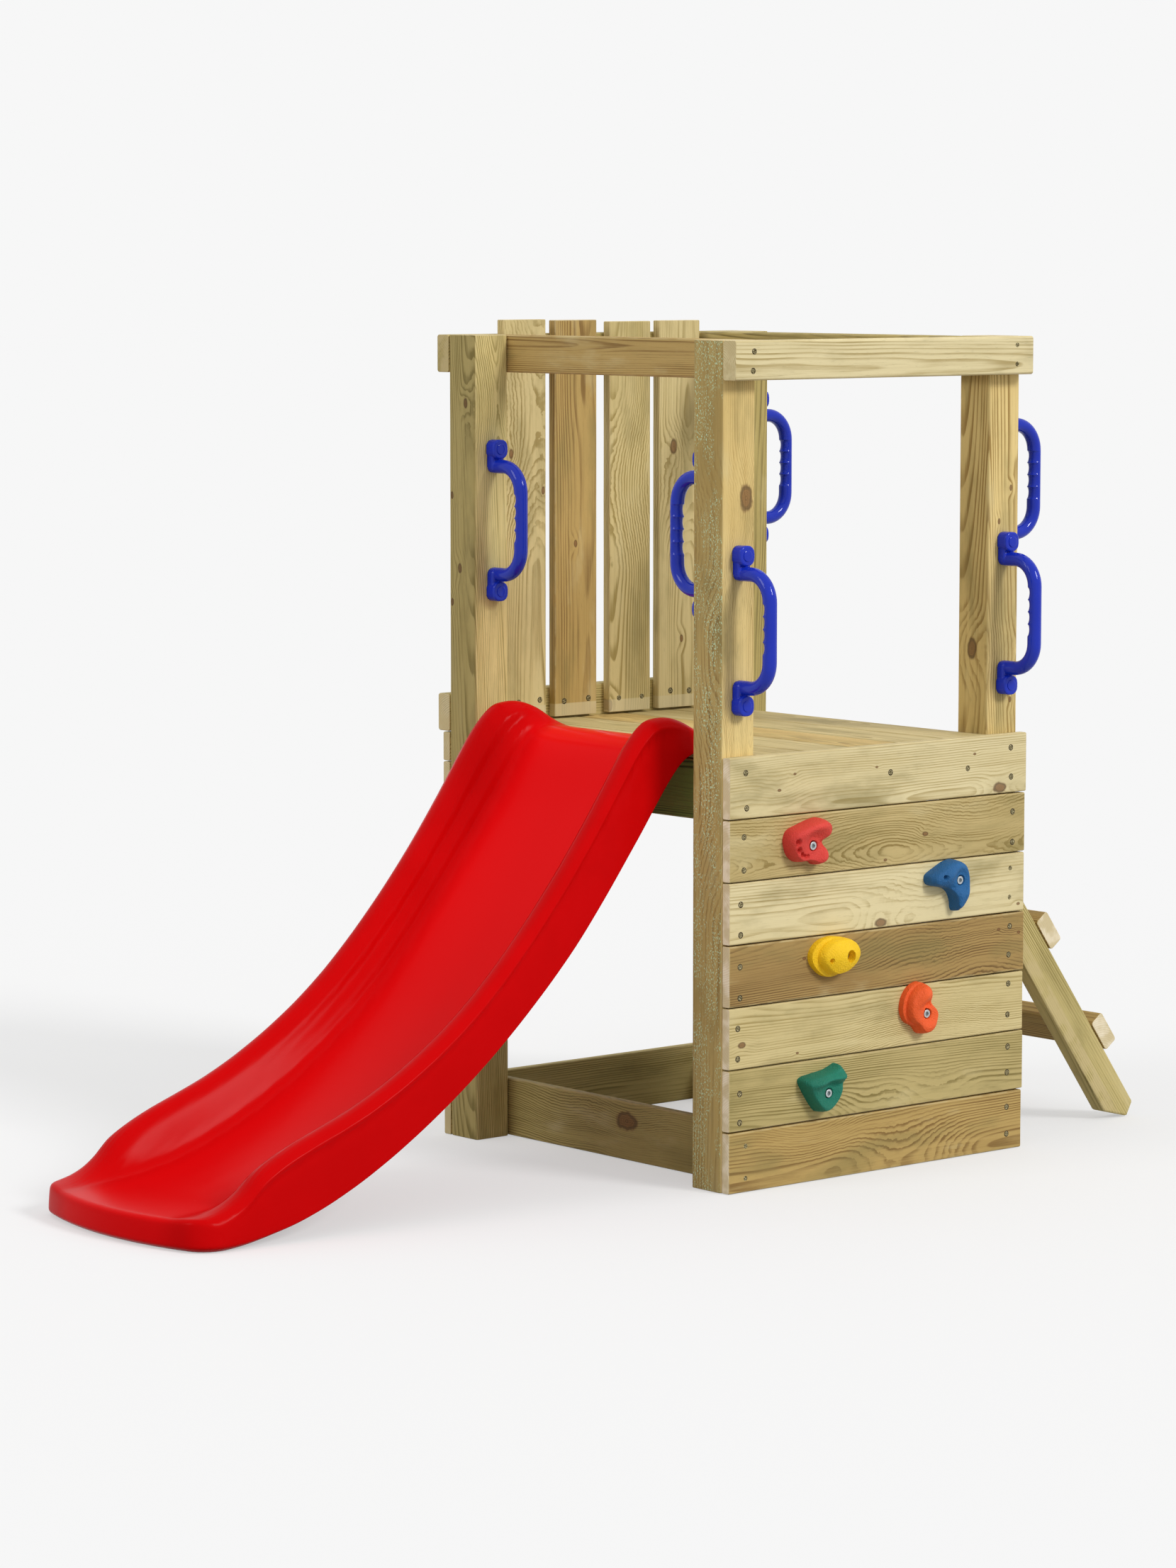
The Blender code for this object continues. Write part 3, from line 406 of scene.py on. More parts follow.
def pine(name, half, tone, knots=(), swirls=(), edge_knots=(), rings=300.0, figure=0.016, contrast=1.1,
         shade=0.0, specks=0.0, foot=0.0, ends=0.3):
    """Pine for one timber.

    Knots and swirls are (x, y, radius) on its broad faces, edge knots are (x, z, radius) on its narrow ones.
    shade is painted shade that darkens its -z face, and specks put mineral flecks there; foot and ends are
    how much paler its lower end and its sawn ends are.
    """
    rng = random.Random(name)
    light, dark, stain, stained = TONES[tone]
    material, t, shader = new_material(name, specular=0.3)
    coordinates = t.add("ShaderNodeTexCoord")
    place = coordinates.outputs["Object"]
    normal = coordinates.outputs["Normal"]
    push = mask = core = 0.0
    marks = [((x, y, 0.0), (KNOT_STRETCH, 1.0, 0.0), size, 1.0) for x, y, size in knots]
    marks += [((x, y, 0.0), (SWIRL_STRETCH, 1.0, 0.0), size, 0.0) for x, y, size in swirls]
    marks += [((x, 0.0, z), (KNOT_STRETCH, 0.0, 1.0), size, 1.0) for x, z, size in edge_knots]
    for centre, across, size, shown in marks:
        knot = t.add("ShaderNodeGroup", {
            "Place": place, "Across": across, "Centre": tuple(Vector(centre) * MM), "Radius": size * MM,
            "Shown": shown, "Push": push, "Mask": mask, "Core": core}, node_tree=KNOT)
        push, mask, core = knot.outputs
    pith = (0.0, either_side(rng, 0.012, 0.05), either_side(rng, 0.02, 0.05))
    wood = t.add("ShaderNodeGroup", {
        "Place": place, "Normal": normal, "Half": half, "Seed": rng.uniform(1, 40), "Pith": pith,
        "Tilt": rng.uniform(-0.05, 0.05), "Rings": rings, "Figure": figure, "Contrast": contrast,
        "Light": srgb(light), "Dark": srgb(dark), "Stain": srgb(stain), "Stained": stained, "Push": push,
        "Mask": mask, "Core": core, "Ends": ends}, node_tree=PINE)
    colour = wood.outputs["Colour"]
    # Painted shade: the -z face is darkened, as the side that the light falls less on
    if shade:
        colour = t.mix(t.math("MULTIPLY", underside(t, normal), shade), colour,
                       t.mix(1.0, colour, srgb("9c9468"), "MULTIPLY"))
    if specks:
        fleck = t.noise(place, (290.0, 560.0, 560.0), 1.0, 0.5)
        cluster = t.noise(place, (9.0, 26.0, 26.0), 4.0, 0.7)
        fleck = t.math("MULTIPLY", t.smooth(fleck, 0.57, 0.65), t.smooth(cluster, 0.42, 0.56))
        fleck = t.math("MULTIPLY", fleck, underside(t, normal))
        colour = t.mix(t.math("MULTIPLY", fleck, specks), colour, srgb("c3dcb2"))
    if foot:
        low, high = (distance - half[0] for distance in PALE_FOOT)
        near = t.smooth(t.split(place)[0], low, high, foot, 0.0)
        colour = t.mix(near, colour, srgb("d9cda6"))
    t.set(shader.inputs["Base Color"], colour)
    t.set(shader.inputs["Roughness"], wood.outputs["Roughness"])
    strength, depth = WOOD_BUMP
    bump = t.add("ShaderNodeBump", {"Height": wood.outputs["Height"], "Strength": strength,
                                    "Distance": depth})
    t.set(shader.inputs["Normal"], bump.outputs[0])
    return material


# Meshes
def section(width, thickness, radius, inset=0.0):
    """A rounded rectangle, as (y, z) points."""
    points = []
    for k, (sy, sz) in enumerate(((1, 1), (-1, 1), (-1, -1), (1, -1))):
        for s in range(EDGE_STEPS + 1):
            a = math.pi / 2 * (k + s / EDGE_STEPS)
            points.append((sy * (width / 2 - radius) + (radius - inset) * math.cos(a),
                           sz * (thickness / 2 - radius) + (radius - inset) * math.sin(a)))
    return points


def loft(rings, smooth_angle=40.0):
    """A closed mesh over rings of equally many points in millimetres."""
    bm = bmesh.new()
    rows = [[bm.verts.new(Vector(p) * MM) for p in ring] for ring in rings]
    for a, b in zip(rows, rows[1:]):
        for i in range(len(a)):
            j = (i + 1) % len(a)
            bm.faces.new((a[i], a[j], b[j], b[i]))
    bm.faces.new(rows[0])
    bm.faces.new(rows[-1])
    bmesh.ops.recalc_face_normals(bm, faces=bm.faces)
    mesh = bpy.data.meshes.new("piece")
    bm.to_mesh(mesh)
    bm.free()
    mesh.shade_smooth()
    mesh.set_sharp_from_angle(angle=math.radians(smooth_angle))
    return mesh


def weld(mesh, distance):
    """Joins the mesh's points that lie within a distance in millimetres."""
    bm = bmesh.new()
    bm.from_mesh(mesh)
    bmesh.ops.remove_doubles(bm, verts=bm.verts, dist=distance * MM)
    bmesh.ops.dissolve_degenerate(bm, edges=bm.edges, dist=0.1 * distance * MM)
    bm.to_mesh(mesh)
    bm.free()


def show(name, mesh, matrix, material, slot, *nodes):
    """A piece on the tower in place of some CAD nodes; its slot is not used."""
    ob = bpy.data.objects.new(name, mesh)
    bpy.context.scene.collection.objects.link(ob)
    ob.matrix_world = matrix
    if not mesh.materials:
        mesh.materials.append(material)
    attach(ob, "root")
    if nodes:
        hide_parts(*nodes)
    return ob


# Timbers
def bar_mesh(length, width, thickness, radius, rng):
    """A timber along x with rounded edges, eased ends and a little waver from the plane."""
    count = max(6, int(length / RING_PITCH))
    ends = ((0.0, END_EASE), (0.3 * END_EASE, 0.3 * END_EASE), (END_EASE, 0.0))
    places = [(-length / 2 + x, inset) for x, inset in ends]
    places += [(-length / 2 + length * k / count, 0.0) for k in range(1, count)]
    places += [(length / 2 - x, inset) for x, inset in reversed(ends)]
    rings = []
    for x, inset in places:
        thin = (1 - rng.uniform(0, WAVER) / width, 1 - rng.uniform(0, WAVER) / thickness)
        outline = section(width, thickness, radius, inset)
        rings.append([(x, y * thin[0], z * thin[1]) for y, z in outline])
    return loft(rings)


def flat_faces(ob):
    """Shades the broad faces flat, up to their rounded edges."""
    ob.modifiers.new("flat faces", "WEIGHTED_NORMAL").keep_sharp = True


def timber(node, along, tone, slot, radius=BOARD_EDGE, extra=0.0, **grain):
    """Stands for a straight timber's node; along is the axis that its grain runs along."""
    low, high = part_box(node)
    size = high - low
    axes = sorted((k for k in range(3) if k != along), key=lambda k: -size[k])
    unit = Matrix.Identity(3)
    matrix = Matrix((unit[along], unit[axes[0]], unit[along].cross(unit[axes[0]]))).transposed().to_4x4()
    matrix.translation = (low + high) / 2
    length, width, thickness = (size[k] / MM for k in (along, *axes))
    mesh = bar_mesh(length, width + extra, thickness, radius, random.Random(node))
    half = (size[along] / 2, size[axes[0]] / 2, size[axes[1]] / 2)
    flat_faces(show(node + "_timber", mesh, matrix, pine(node, half, tone, **grain), slot, node))


def tower_timbers():
    # Each post's shade is painted shade on its -z face
    posts = {
        "front_left": ("wheat", dict(
            shade=0.62, knots=((520, 9, 5), (378, -25, 4), (266, -6, 5), (213, -25, 4)),
            swirls=((525, 54, 14),))),
        "front_right": ("amber", dict(
            shade=0.62, specks=1.0, contrast=0.75, swirls=((-40, 8, 22), (330, 4, 16)),
            edge_knots=((396, 14, 13),))),
        "back_left": ("olive", dict(shade=0.3)),
        "back_right": ("amber", dict(
            shade=0.4, knots=((149, -1, 11),), edge_knots=((394, 15, 3), (344, -10, 3), (70, 17, 3)))),
    }
    for name, (tone, looks) in posts.items():
        timber(f"post_{name}", 2, tone, "pine_post", POST_EDGE, rings=280.0, figure=0.012, **looks)
    for name, along, tone in (("right", 1, "cream"), ("left", 1, "olive"), ("front", 0, "tan"),
                              ("back", 0, "olive")):
        timber(f"top_rail_{name}", along, tone, "pine_rail", RAIL_EDGE, rings=330.0, figure=0.010, ends=0.0)
    timber("side_rail_left", 1, "moss", "pine_rail", RAIL_EDGE)
    for name in ("side_board_left_narrow", "side_board_left_wide", "base_board_left", "base_board_back"):
        timber(name, 1 if "left" in name else 0, "moss", "pine_board")
    timber("base_board_front", 0, "olive", "pine_board", knots=((29, 15, 16),), swirls=((-120, 5, 14),))
    for name in ("deck_beam_front", "deck_beam_back"):
        timber(name, 0, "dark", "pine_board")
    for name in ("deck_ledger_left", "deck_ledger_right", "deck_joist_middle"):
        timber(name, 1, "olive", "pine_rail", RAIL_EDGE)


def wall_boards():
    """Drawn a little wider to close their seams, except the lowest one, which stands on the floor."""
    tones = ("cream", "sand", "cream", "brown", "straw", "fern", "tan")
    knots = {
        1: ((248, -36, 9), (-208, -8, 2.5), (-177, 14, 2), (-11, 13, 2), (194, 19, 2)),
        2: ((92, -3, 4), (9, -36, 2.5)),
        3: ((1, -38, 8), (292, -34, 2.5)),
        4: ((-156, 15, 2.5), (250, 22, 2.5), (293, 14, 2.5)),
        5: ((-279, -10, 5), (-168, -33, 2)),
    }
    swirls = {
        1: ((-205, -8, 8),),
        2: ((205, -6, 22), (-190, -52, 26)),
        3: ((0, -14, 9), (97, 2, 12)),
        4: ((61, 12, 14), (215, -8, 16)),
        5: ((93, -50, 22),),
        6: ((-29, -35, 10), (107, -42, 14)),
        7: ((60, -30, 18), (-140, 40, 14)),
    }
    for number, tone in enumerate(tones, 1):
        wider = SEAM if number < len(tones) else 0.0
        timber(f"wall_board_{number}", 1, tone, "pine_board", extra=wider, ends=0.95,
               knots=knots.get(number, ()), swirls=swirls[number], contrast=0.75 if tone == "cream" else 1.1)


def deck_boards():
    for number, tone in enumerate(("straw", "straw", "honey", "straw", "straw"), 1):
        timber(f"deck_board_{number}", 0, tone, "pine_board")


def slats():
    knots = {1: ((104, -28, 5), (45, 37, 4)), 2: ((-40, -1, 4),), 3: ((-299, -42, 6),),
             4: ((109, -12, 8), (-200, 5, 4))}
    swirls = {1: ((150, 10, 26),), 3: ((60, 0, 18),), 4: ((40, 5, 14),)}
    for number, tone in enumerate(("straw", "tan", "pale", "straw"), 1):
        timber(f"fence_slat_{number}", 2, tone, "pine_board", knots=knots[number],
               swirls=swirls.get(number, ()), foot=0.5)


def ladder():
    """The sides keep their CAD meshes; the rungs get rounder ones."""
    grain = Vector((0.0, -math.cos(LADDER_ANGLE), math.sin(LADDER_ANGLE)))
    across = Vector((0.0, math.sin(LADDER_ANGLE), math.cos(LADDER_ANGLE)))
    width, thickness = RUNG_SECTION
    for side in ("left", "right"):
        node = f"ladder_side_{side}"
        low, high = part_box(node)
        half = ((high.z - low.z) / 2 / math.sin(LADDER_ANGLE), width / 2 * MM, thickness / 2 * MM)
        NODES[node].data.materials.clear()
        NODES[node].data.materials.append(pine_along(node, half, "moss", grain, across, (low + high) / 2))
    for number in (1, 2, 3):
        node = f"ladder_rung_{number}"
        low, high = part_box(node)
        length = (high.x - low.x) / MM
        mesh = bar_mesh(length, width, thickness, RUNG_EDGE, random.Random(node))
        matrix = Matrix.Rotation(math.pi - LADDER_ANGLE, 4, "X")
        matrix.translation = (low + high) / 2
        half = (length / 2 * MM, width / 2 * MM, thickness / 2 * MM)
        wood = pine(node, half, "tan", ends=0.9)
        flat_faces(show(node + "_timber", mesh, matrix, wood, "pine_rail", node))


def pine_along(name, half, tone, grain, across, centre):
    """Pine for a mesh whose place is the row frame's, with its grain along a direction."""
    material = pine(name, half, tone)
    t = Tree(material.node_tree)
    coordinates = next(n for n in material.node_tree.nodes if n.bl_idname == "ShaderNodeTexCoord")
    third = grain.cross(across)

    def turned(vector):
        return t.join(*(t.vector("DOT_PRODUCT", vector, tuple(v)) for v in (grain, across, third)))

    wood = next(n for n in material.node_tree.nodes
                if n.bl_idname == "ShaderNodeGroup" and n.node_tree == PINE)
    t.set(wood.inputs["Place"], turned(t.vector("SUBTRACT", coordinates.outputs["Object"], tuple(centre))))
    t.set(wood.inputs["Normal"], turned(coordinates.outputs["Normal"]))
    return material


# Moulded plastic
def plastic(name, colour, shade, roughness, specular, grain, bump_strength, depth=0.5):
    """Moulded plastic with faint colour clouds, scuffs and a fine skin."""
    material, t, shader = new_material(name, specular=specular)
    place = t.add("ShaderNodeTexCoord").outputs["Object"]
    cloud = t.noise(place, (9.0, 9.0, 9.0), 4.0, 0.6)
    skin = t.noise(place, (grain, grain, grain), 3.0, 0.6)
    scuff = t.smooth(t.noise(place, (60.0, 240.0, 60.0), 5.0, 0.7), 0.6, 0.8)
    t.set(shader.inputs["Base Color"], t.mix(t.smooth(cloud, 0.3, 0.7), srgb(colour), srgb(shade)))
    rough = t.math("ADD", roughness, t.math("MULTIPLY", scuff, 0.08))
    t.set(shader.inputs["Roughness"], t.math("ADD", rough, t.math("MULTIPLY", skin, 0.05)))
    bump = t.add("ShaderNodeBump", {"Height": skin, "Strength": bump_strength, "Distance": depth * MM})
    t.set(shader.inputs["Normal"], bump.outputs[0])
    return material


# Slide
def bead(value, centre, width, height):
    """The height of a rounded line at a distance across it."""
    return height * math.exp(-((value - centre) / width) ** 2)


def rise(value, start, length):
    """0 up to the start, 1 from a length beyond it."""
    return min(1.0, max(0.0, (value - start) / length))


def fall(value, end, length):
    """1 until a length before the end, 0 from the end on."""
    return rise(end - value, 0.0, length)


def slide():
    """The CAD moulding with finer curves and the moulded lines along its crests and walls."""
    rough = NODES["slide"].data.copy()
    rough.materials.clear()
    weld(rough, 0.02)
    draft = bpy.data.objects.new("slide_draft", rough)
    bpy.context.scene.collection.objects.link(draft)
    finer = draft.modifiers.new("finer", "SUBSURF")
    finer.levels = 2
    graph = bpy.context.evaluated_depsgraph_get()
    mesh = bpy.data.meshes.new_from_object(draft.evaluated_get(graph))
    bpy.data.objects.remove(draft)

    to_slide = (Matrix.Translation(at(*SLIDE_AT, 0.0)) @ Matrix.Rotation(SLIDE_TURN, 4, "Z")).inverted()
    turn = to_slide.to_3x3()
    places = [to_slide @ v.co / MM for v in mesh.vertices]
    normals = [turn @ n.vector for n in mesh.vertex_normals]
    ridge = sorted((-p.y, p.z) for p, n in zip(places, normals)
                   if abs(abs(p.x) - CREST_TOP) < CREST_BAND and n.z > 0.5)
    for vertex, place, normal in zip(mesh.vertices, places, normals):
        f = -place.y
        side = abs(place.x)
        push = 0.0
        if normal.z > 0.2 and side < CREST_FROM:
            push = sum(bead(side, *line) for line in WALL_LINES) * fall(f, *WALL_LINES_END)
        elif side > CREST_FROM and normal.x * place.x > 0:
            k = min(max(bisect.bisect(ridge, (f, 0.0)), 1), len(ridge) - 1)
            (f0, z0), (f1, z1) = ridge[k - 1], ridge[k]
            crest = z0 + (z1 - z0) * (f - f0) / max(f1 - f0, 0.01)
            push = sum(bead(crest - place.z, *line) for line in SKIRT_LINES) * fall(f, *SKIRT_LINES_END)
        vertex.co += turn.transposed() @ (normal * push * rise(f, *LINES_START) * MM)

    mesh.shade_smooth()
    red = plastic("slide_red", "cf070a", "c70608", roughness=0.2, specular=0.024, grain=350.0,
                  bump_strength=0.03)
    t = Tree(red.node_tree)
    shader = red.node_tree.nodes["Principled BSDF"]
    across, _, height = t.split(t.add("ShaderNodeTexCoord").outputs["Object"])
    colour = shader.inputs["Base Color"].links[0].from_socket
    # Painted light near the centre line and painted shade near the floor, for how the light falls on the
    # slide
    side = t.math("ABSOLUTE", t.math("SUBTRACT", across, at(*SLIDE_AT, 0.0).x))
    colour = t.mix(t.smooth(side, *SLIDE_PAINTED_LIGHT, 1.0, 0.0), colour, srgb("ec0c10"))
    colour = t.mix(t.smooth(height, *SLIDE_PAINTED_SHADE, SLIDE_PAINTED_SHADE_SHARE, 0.0), colour, srgb("be0406"))
    t.set(shader.inputs["Base Color"], colour)
    show("slide_shell", mesh, Matrix.Identity(4), red, "slide_plastic", "slide")


# Grab handles
def grip_path():
    """(z, x, groove) along the grip's middle from the lower foot to the upper one."""
    start = HANDLE_STRAIGHT + HANDLE_BEND
    middle_x = HANDLE_REACH - HANDLE_BEND
    path = [(-start, HANDLE_START, 0.0), (-start, middle_x / 2, 0.0)]
    for k in range(BEND_STEPS + 1):
        a = math.pi / 2 * k / BEND_STEPS
        path.append((-HANDLE_STRAIGHT - HANDLE_BEND * math.cos(a), middle_x + HANDLE_BEND * math.sin(a),
                     0.0))
    half = FINGER_PITCH * FINGER_GROOVES / 2
    steps = GROOVE_STEPS * FINGER_GROOVES
    grip = []
    for k in range(steps + 1):
        share = (k / GROOVE_STEPS) % 1.0
        grip.append((FINGERS_UP - half + 2 * half * k / steps, HANDLE_REACH,
                     GROOVE * math.sin(math.pi * share ** GROOVE_SKEW) ** GROOVE_FULLNESS))
    return path + grip + [(-z, x, groove) for z, x, groove in reversed(path)]


def grip_rings():
    """Rings of the grip, with finger grooves on the side towards the post."""
    path = grip_path()
    rings = []
    for i, (z, x, groove) in enumerate(path):
        before = path[max(i - 1, 0)]
        after = path[min(i + 1, len(path) - 1)]
        along = Vector((after[0] - before[0], after[1] - before[1])).normalized()
        ring = []
        for k in range(GRIP_SIDES):
            c = math.cos(2 * math.pi * k / GRIP_SIDES)
            r = HANDLE_R - groove * max(0.0, GROOVE_WRAP - c) ** GROOVE_FADE
            side = r * math.sin(2 * math.pi * k / GRIP_SIDES)
            ring.append((x + r * c * along.x, side, z - r * c * along.y))
        rings.append(ring)
    return rings


def block_rings(width, length, height, z, edge):
    """A block with rounded ends standing on the post's face."""
    rings = []
    for x, inset in ((0.0, 0.0), (height - edge, 0.0), (height - 0.3 * edge, 0.3 * edge), (height, edge)):
        rings.append([(x, a, z + b) for a, b in section(width, length, 0.4 * width, inset)])
    return rings


def lathe(profile, sides, centre=(0.0, 0.0)):
    """Rings around x through (x, radius) pairs, about a (y, z) centre."""
    angles = [2 * math.pi * k / sides for k in range(sides)]
    rings = []
    for x, r in profile:
        rings.append([(x, centre[0] + r * math.cos(a), centre[1] + r * math.sin(a)) for a in angles])
    return rings


def joined(meshes):
    """One mesh from several."""
    bm = bmesh.new()
    for mesh in meshes:
        bm.from_mesh(mesh)
        bpy.data.meshes.remove(mesh)
    mesh = bpy.data.meshes.new("piece")
    bm.to_mesh(mesh)
    bm.free()
    return mesh


def handle_mesh():
    """Grip and feet melted into one skin, with a round cap on each foot."""
    shells = [loft(grip_rings())]
    caps = []
    for sign in (-1, 1):
        z = sign * (HANDLE_LENGTH - FOOT_LENGTH) / 2
        shells.append(loft(block_rings(FOOT_W, FOOT_LENGTH, FOOT_H, z, FOOT_EDGE)))
        shells.append(loft(block_rings(ROOT_W, ROOT_LENGTH, ROOT_H, z - sign * ROOT_IN, ROOT_EDGE)))
        profile = ((FOOT_H - 2.0, CAP_R), (FOOT_H + 0.6 * CAP_H, CAP_R),
                   (FOOT_H + 0.85 * CAP_H, CAP_R - 0.5), (FOOT_H + CAP_H, CAP_R - 1.6),
                   (FOOT_H + CAP_H, 0.3 * CAP_R))
        caps.append(loft(lathe(profile, CAP_SIDES, (0.0, z))))
    draft = bpy.data.objects.new("handle_draft", joined(shells))
    bpy.context.scene.collection.objects.link(draft)
    melt = draft.modifiers.new("melt", "REMESH")
    melt.mode = "VOXEL"
    melt.voxel_size = VOXEL * MM
    even = draft.modifiers.new("even", "SMOOTH")
    even.factor = 0.5
    even.iterations = 1
    graph = bpy.context.evaluated_depsgraph_get()
    skin = bpy.data.meshes.new_from_object(draft.evaluated_get(graph))
    bpy.data.objects.remove(draft)
    mesh = joined([skin] + caps)
    mesh.shade_smooth()
    mesh.set_sharp_from_angle(angle=math.radians(50.0))
    return mesh


def handles():
    blue = plastic("handle_blue", "1530b8", "122bac", roughness=0.08, specular=0.27, grain=500.0,
                   bump_strength=0.02)
    mesh = handle_mesh()
    for name, turn in (("slide_left", 0), ("slide_right", 180), ("wall_front", 0), ("wall_back", 0),
                       ("ladder_left", 90), ("ladder_right", 90)):
        node = f"handle_{name}"
        low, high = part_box(node)
        matrix = Matrix.Rotation(math.radians(turn), 4, "Z")
        out = matrix.to_3x3() @ Vector((1.0, 0.0, 0.0))
        reach = abs((high - low).dot(out))
        matrix.translation = (low + high) / 2 - out * reach / 2
        show(f"grab_{name}", mesh, matrix, blue, "handle_plastic", node)


# Holds: wall board from the top, centre along y, height above the board's middle, bolt's place, how far it
# stands off, the outline (y, z) around the centre, then lumps (y, z, half length, half width, slope in
# degrees, amount), pits (y, z, radius, depth), how far a lower flange steps out on the left, and the radius
# and height of the dish around the bolt
HOLDS = {
    "red": (2, -156, 6, (3, -6), 36, (
        (-42, -1), (-41, 10), (-34, 19), (-13, 26), (9, 32), (26, 33), (39, 24), (39, 10), (28, 2),
        (27, -5), (33, -18), (31, -29), (16, -36), (7, -31), (-6, -28), (-22, -29), (-36, -18)),
        ((6, 22, 34, 11, 14, 9), (22, -3, 15, 9, 10, -14), (20, -25, 10, 9, -50, 5),
         (-4, -18, 22, 7, -5, -5)),
        ((-32, 2, 4.8, 9), (-29, -10, 4.4, 9), (-22, -17, 3.8, 8), (-15, -20, 3.4, 8), (-9, -20, 3.2, 7)),
        0, (14, 19)),
    "blue": (3, 140, 14, (11, 2), 34, (
        (-49, 9), (-45, 15), (-29, 23), (-10, 31), (8, 33), (23, 25), (31, 6), (29, -16), (22, -35),
        (12, -46), (6, -42), (4, -29), (-2, -17), (-14, -9), (-44, -2)),
        ((-14, 13, 30, 10, 20, 6), (22, -12, 24, 9, -70, 4), (-4, -8, 16, 8, 30, -6)),
        ((-28, 10, 3.8, 9),), 0, (11, 20)),
    "yellow": (4, -104, 15, (18, 0), 36, (
        (-43, 1), (-39, 13), (-26, 24), (-6, 29), (12, 28), (33, 23), (45, 11), (46, -3), (34, -17),
        (14, -27), (-6, -31), (-22, -26), (-38, -12)),
        ((-4, 2, 26, 20, 10, 4),),
        ((-18, -4, 3.4, 9),), 7, (0.1, 20)),
    "orange": (5, 73, 11, (10, -8), 34, (
        (-32, -2), (-29, 18), (-16, 34), (2, 40), (16, 34), (20, 20), (23, 6), (34, -8), (30, -23),
        (20, -37), (4, -39), (-8, -27), (-24, -18)),
        ((0, 22, 20, 10, 70, 8), (10, 4, 14, 8, 25, -13), (18, -24, 12, 10, 0, 4)),
        (), 6, (12, 20)),
    "green": (6, -124, 3, (5, -7), 36, (
        (-43, 14), (-36, 20), (-17, 23), (6, 26), (22, 31), (31, 34), (36, 25), (35, 5), (28, -16),
        (12, -31), (-6, -35), (-18, -25), (-34, -3)),
        ((6, 14, 34, 6, 8, 13), (12, 2, 20, 5, 8, -9), (-8, -24, 16, 8, -20, 4)),
        (), 0, (13, 19)),
}


def smooth_outline(points, count):
    """Evenly turning points of the closed smooth curve through the given ones."""
    curve = []
    n = len(points)
    for i in range(n):
        p0, p1, p2, p3 = (Vector(points[(i + k) % n]) for k in (-1, 0, 1, 2))
        for k in range(16):
            u = k / 16
            curve.append(0.5 * (2 * p1 + (p2 - p0) * u + (2 * p0 - 5 * p1 + 4 * p2 - p3) * u * u
                                + (3 * p1 - p0 - 3 * p2 + p3) * u ** 3))
    lengths = [0.0]
    for a, b in zip(curve, curve[1:] + curve[:1]):
        lengths.append(lengths[-1] + (b - a).length)
    result = []
    k = 0
    for i in range(count):
        want = lengths[-1] * i / count
        while lengths[k + 1] < want:
            k += 1
        share = (want - lengths[k]) / (lengths[k + 1] - lengths[k])
        result.append(curve[k].lerp(curve[(k + 1) % len(curve)], share))
    return result


def rounder(points, passes):
    """The outline with its corners softened."""
    for _ in range(passes):
        points = [(points[i - 1] + 2 * p + points[(i + 1) % len(points)]) / 4 for i, p in enumerate(points)]
    return points


def surface_lift(y, z, lumps, pits):
    """How much the lumps raise and the pits lower the surface at a point."""
    lift = 0.0
    for ly, lz, length, width, slope, amount in lumps:
        a = math.radians(slope)
        along = ((y - ly) * math.cos(a) + (z - lz) * math.sin(a)) / length
        across = (-(y - ly) * math.sin(a) + (z - lz) * math.cos(a)) / width
        lift += amount * math.exp(-along * along - across * across)
    for py, pz, radius, depth in pits:
        away = math.hypot(y - py, z - pz) / radius
        lift -= depth * (1 - min(1.0, away) ** 4)
    return lift


def side_and_crown(share):
    """How far in towards the bolt and how high a ring lies, by its share of the rings."""
    if share <= HOLD_SIDE:
        turn = min(1.0, share / HOLD_SIDE) * math.pi / 2
        return SIDE_LEAN * (1 - math.cos(turn)), SIDE_RISE * math.sin(turn)
    rest = (share - HOLD_SIDE) / (1 - HOLD_SIDE)
    crown = math.sin(rest * math.pi / 2) ** CROWN_POWER
    return SIDE_LEAN + (1 - SIDE_LEAN) * rest, SIDE_RISE + (1 - SIDE_RISE) * crown


def around(bolt, ring, radius):
    """The ring's points moved to a distance from the bolt's middle, at their own heights."""
    return [(x, *(bolt + (Vector((y, z)) - bolt).normalized() * radius)) for x, y, z in ring]


def hold_mesh(reach, bolt, outline, lumps, pits, flange, dish):
    """A hold as rings from its outline on the wall to the rim of the bolt's recess, and down into it."""
    outline = smooth_outline(outline, HOLD_SIDES)
    bolt = Vector(bolt)
    dish_radius, dish_height = dish
    sharp, rounded, softest = (rounder(outline, passes) for passes in ROUNDING)
    rings = []
    for k in range(HOLD_RINGS + 1):
        share = k / HOLD_RINGS
        lean, height = side_and_crown(share)
        low = rounded if share > 0.2 else sharp
        softness = max(0.0, (share - 0.3) / 0.7)
        ring = []
        for i in range(HOLD_SIDES):
            edge = low[i].lerp(softest[i], softness)
            out = (edge - bolt).normalized()
            inwards = lean
            if flange and height > FLANGE_FROM:
                inwards += flange / FLANGE_SPAN * max(0.0, -out.x) * (1 - inwards)
            point = edge.lerp(bolt, inwards)
            if (point - bolt).length < RECESS_RIM or (point - bolt).dot(edge - bolt) < 0:
                point = bolt + out * RECESS_RIM
            lift = surface_lift(point.x, point.y, lumps, pits) * min(1.0, height * height * LUMP_RISE)
            up = max(0.0, height * (reach - LUMP_ROOM) + lift)
            away = max(0.0, (point - bolt).length - RECESS_RIM) / dish_radius
            up += (min(up, dish_height) - up) * math.exp(-away * away)
            ring.append((up, point.x, point.y))
        rings.append(ring)

    top = rings[-1]
    for inset, drop in RECESS_LIP:
        rings.append([(x - drop, y, z) for x, y, z in around(bolt, top, RECESS_RIM - inset)])
    for inset, seat in RECESS_FLOOR:
        rings.append([(seat, y, z) for _, y, z in around(bolt, top, RECESS_RIM - inset)])
    mesh = loft(rings, 60.0)
    weld(mesh, 0.05)
    return mesh


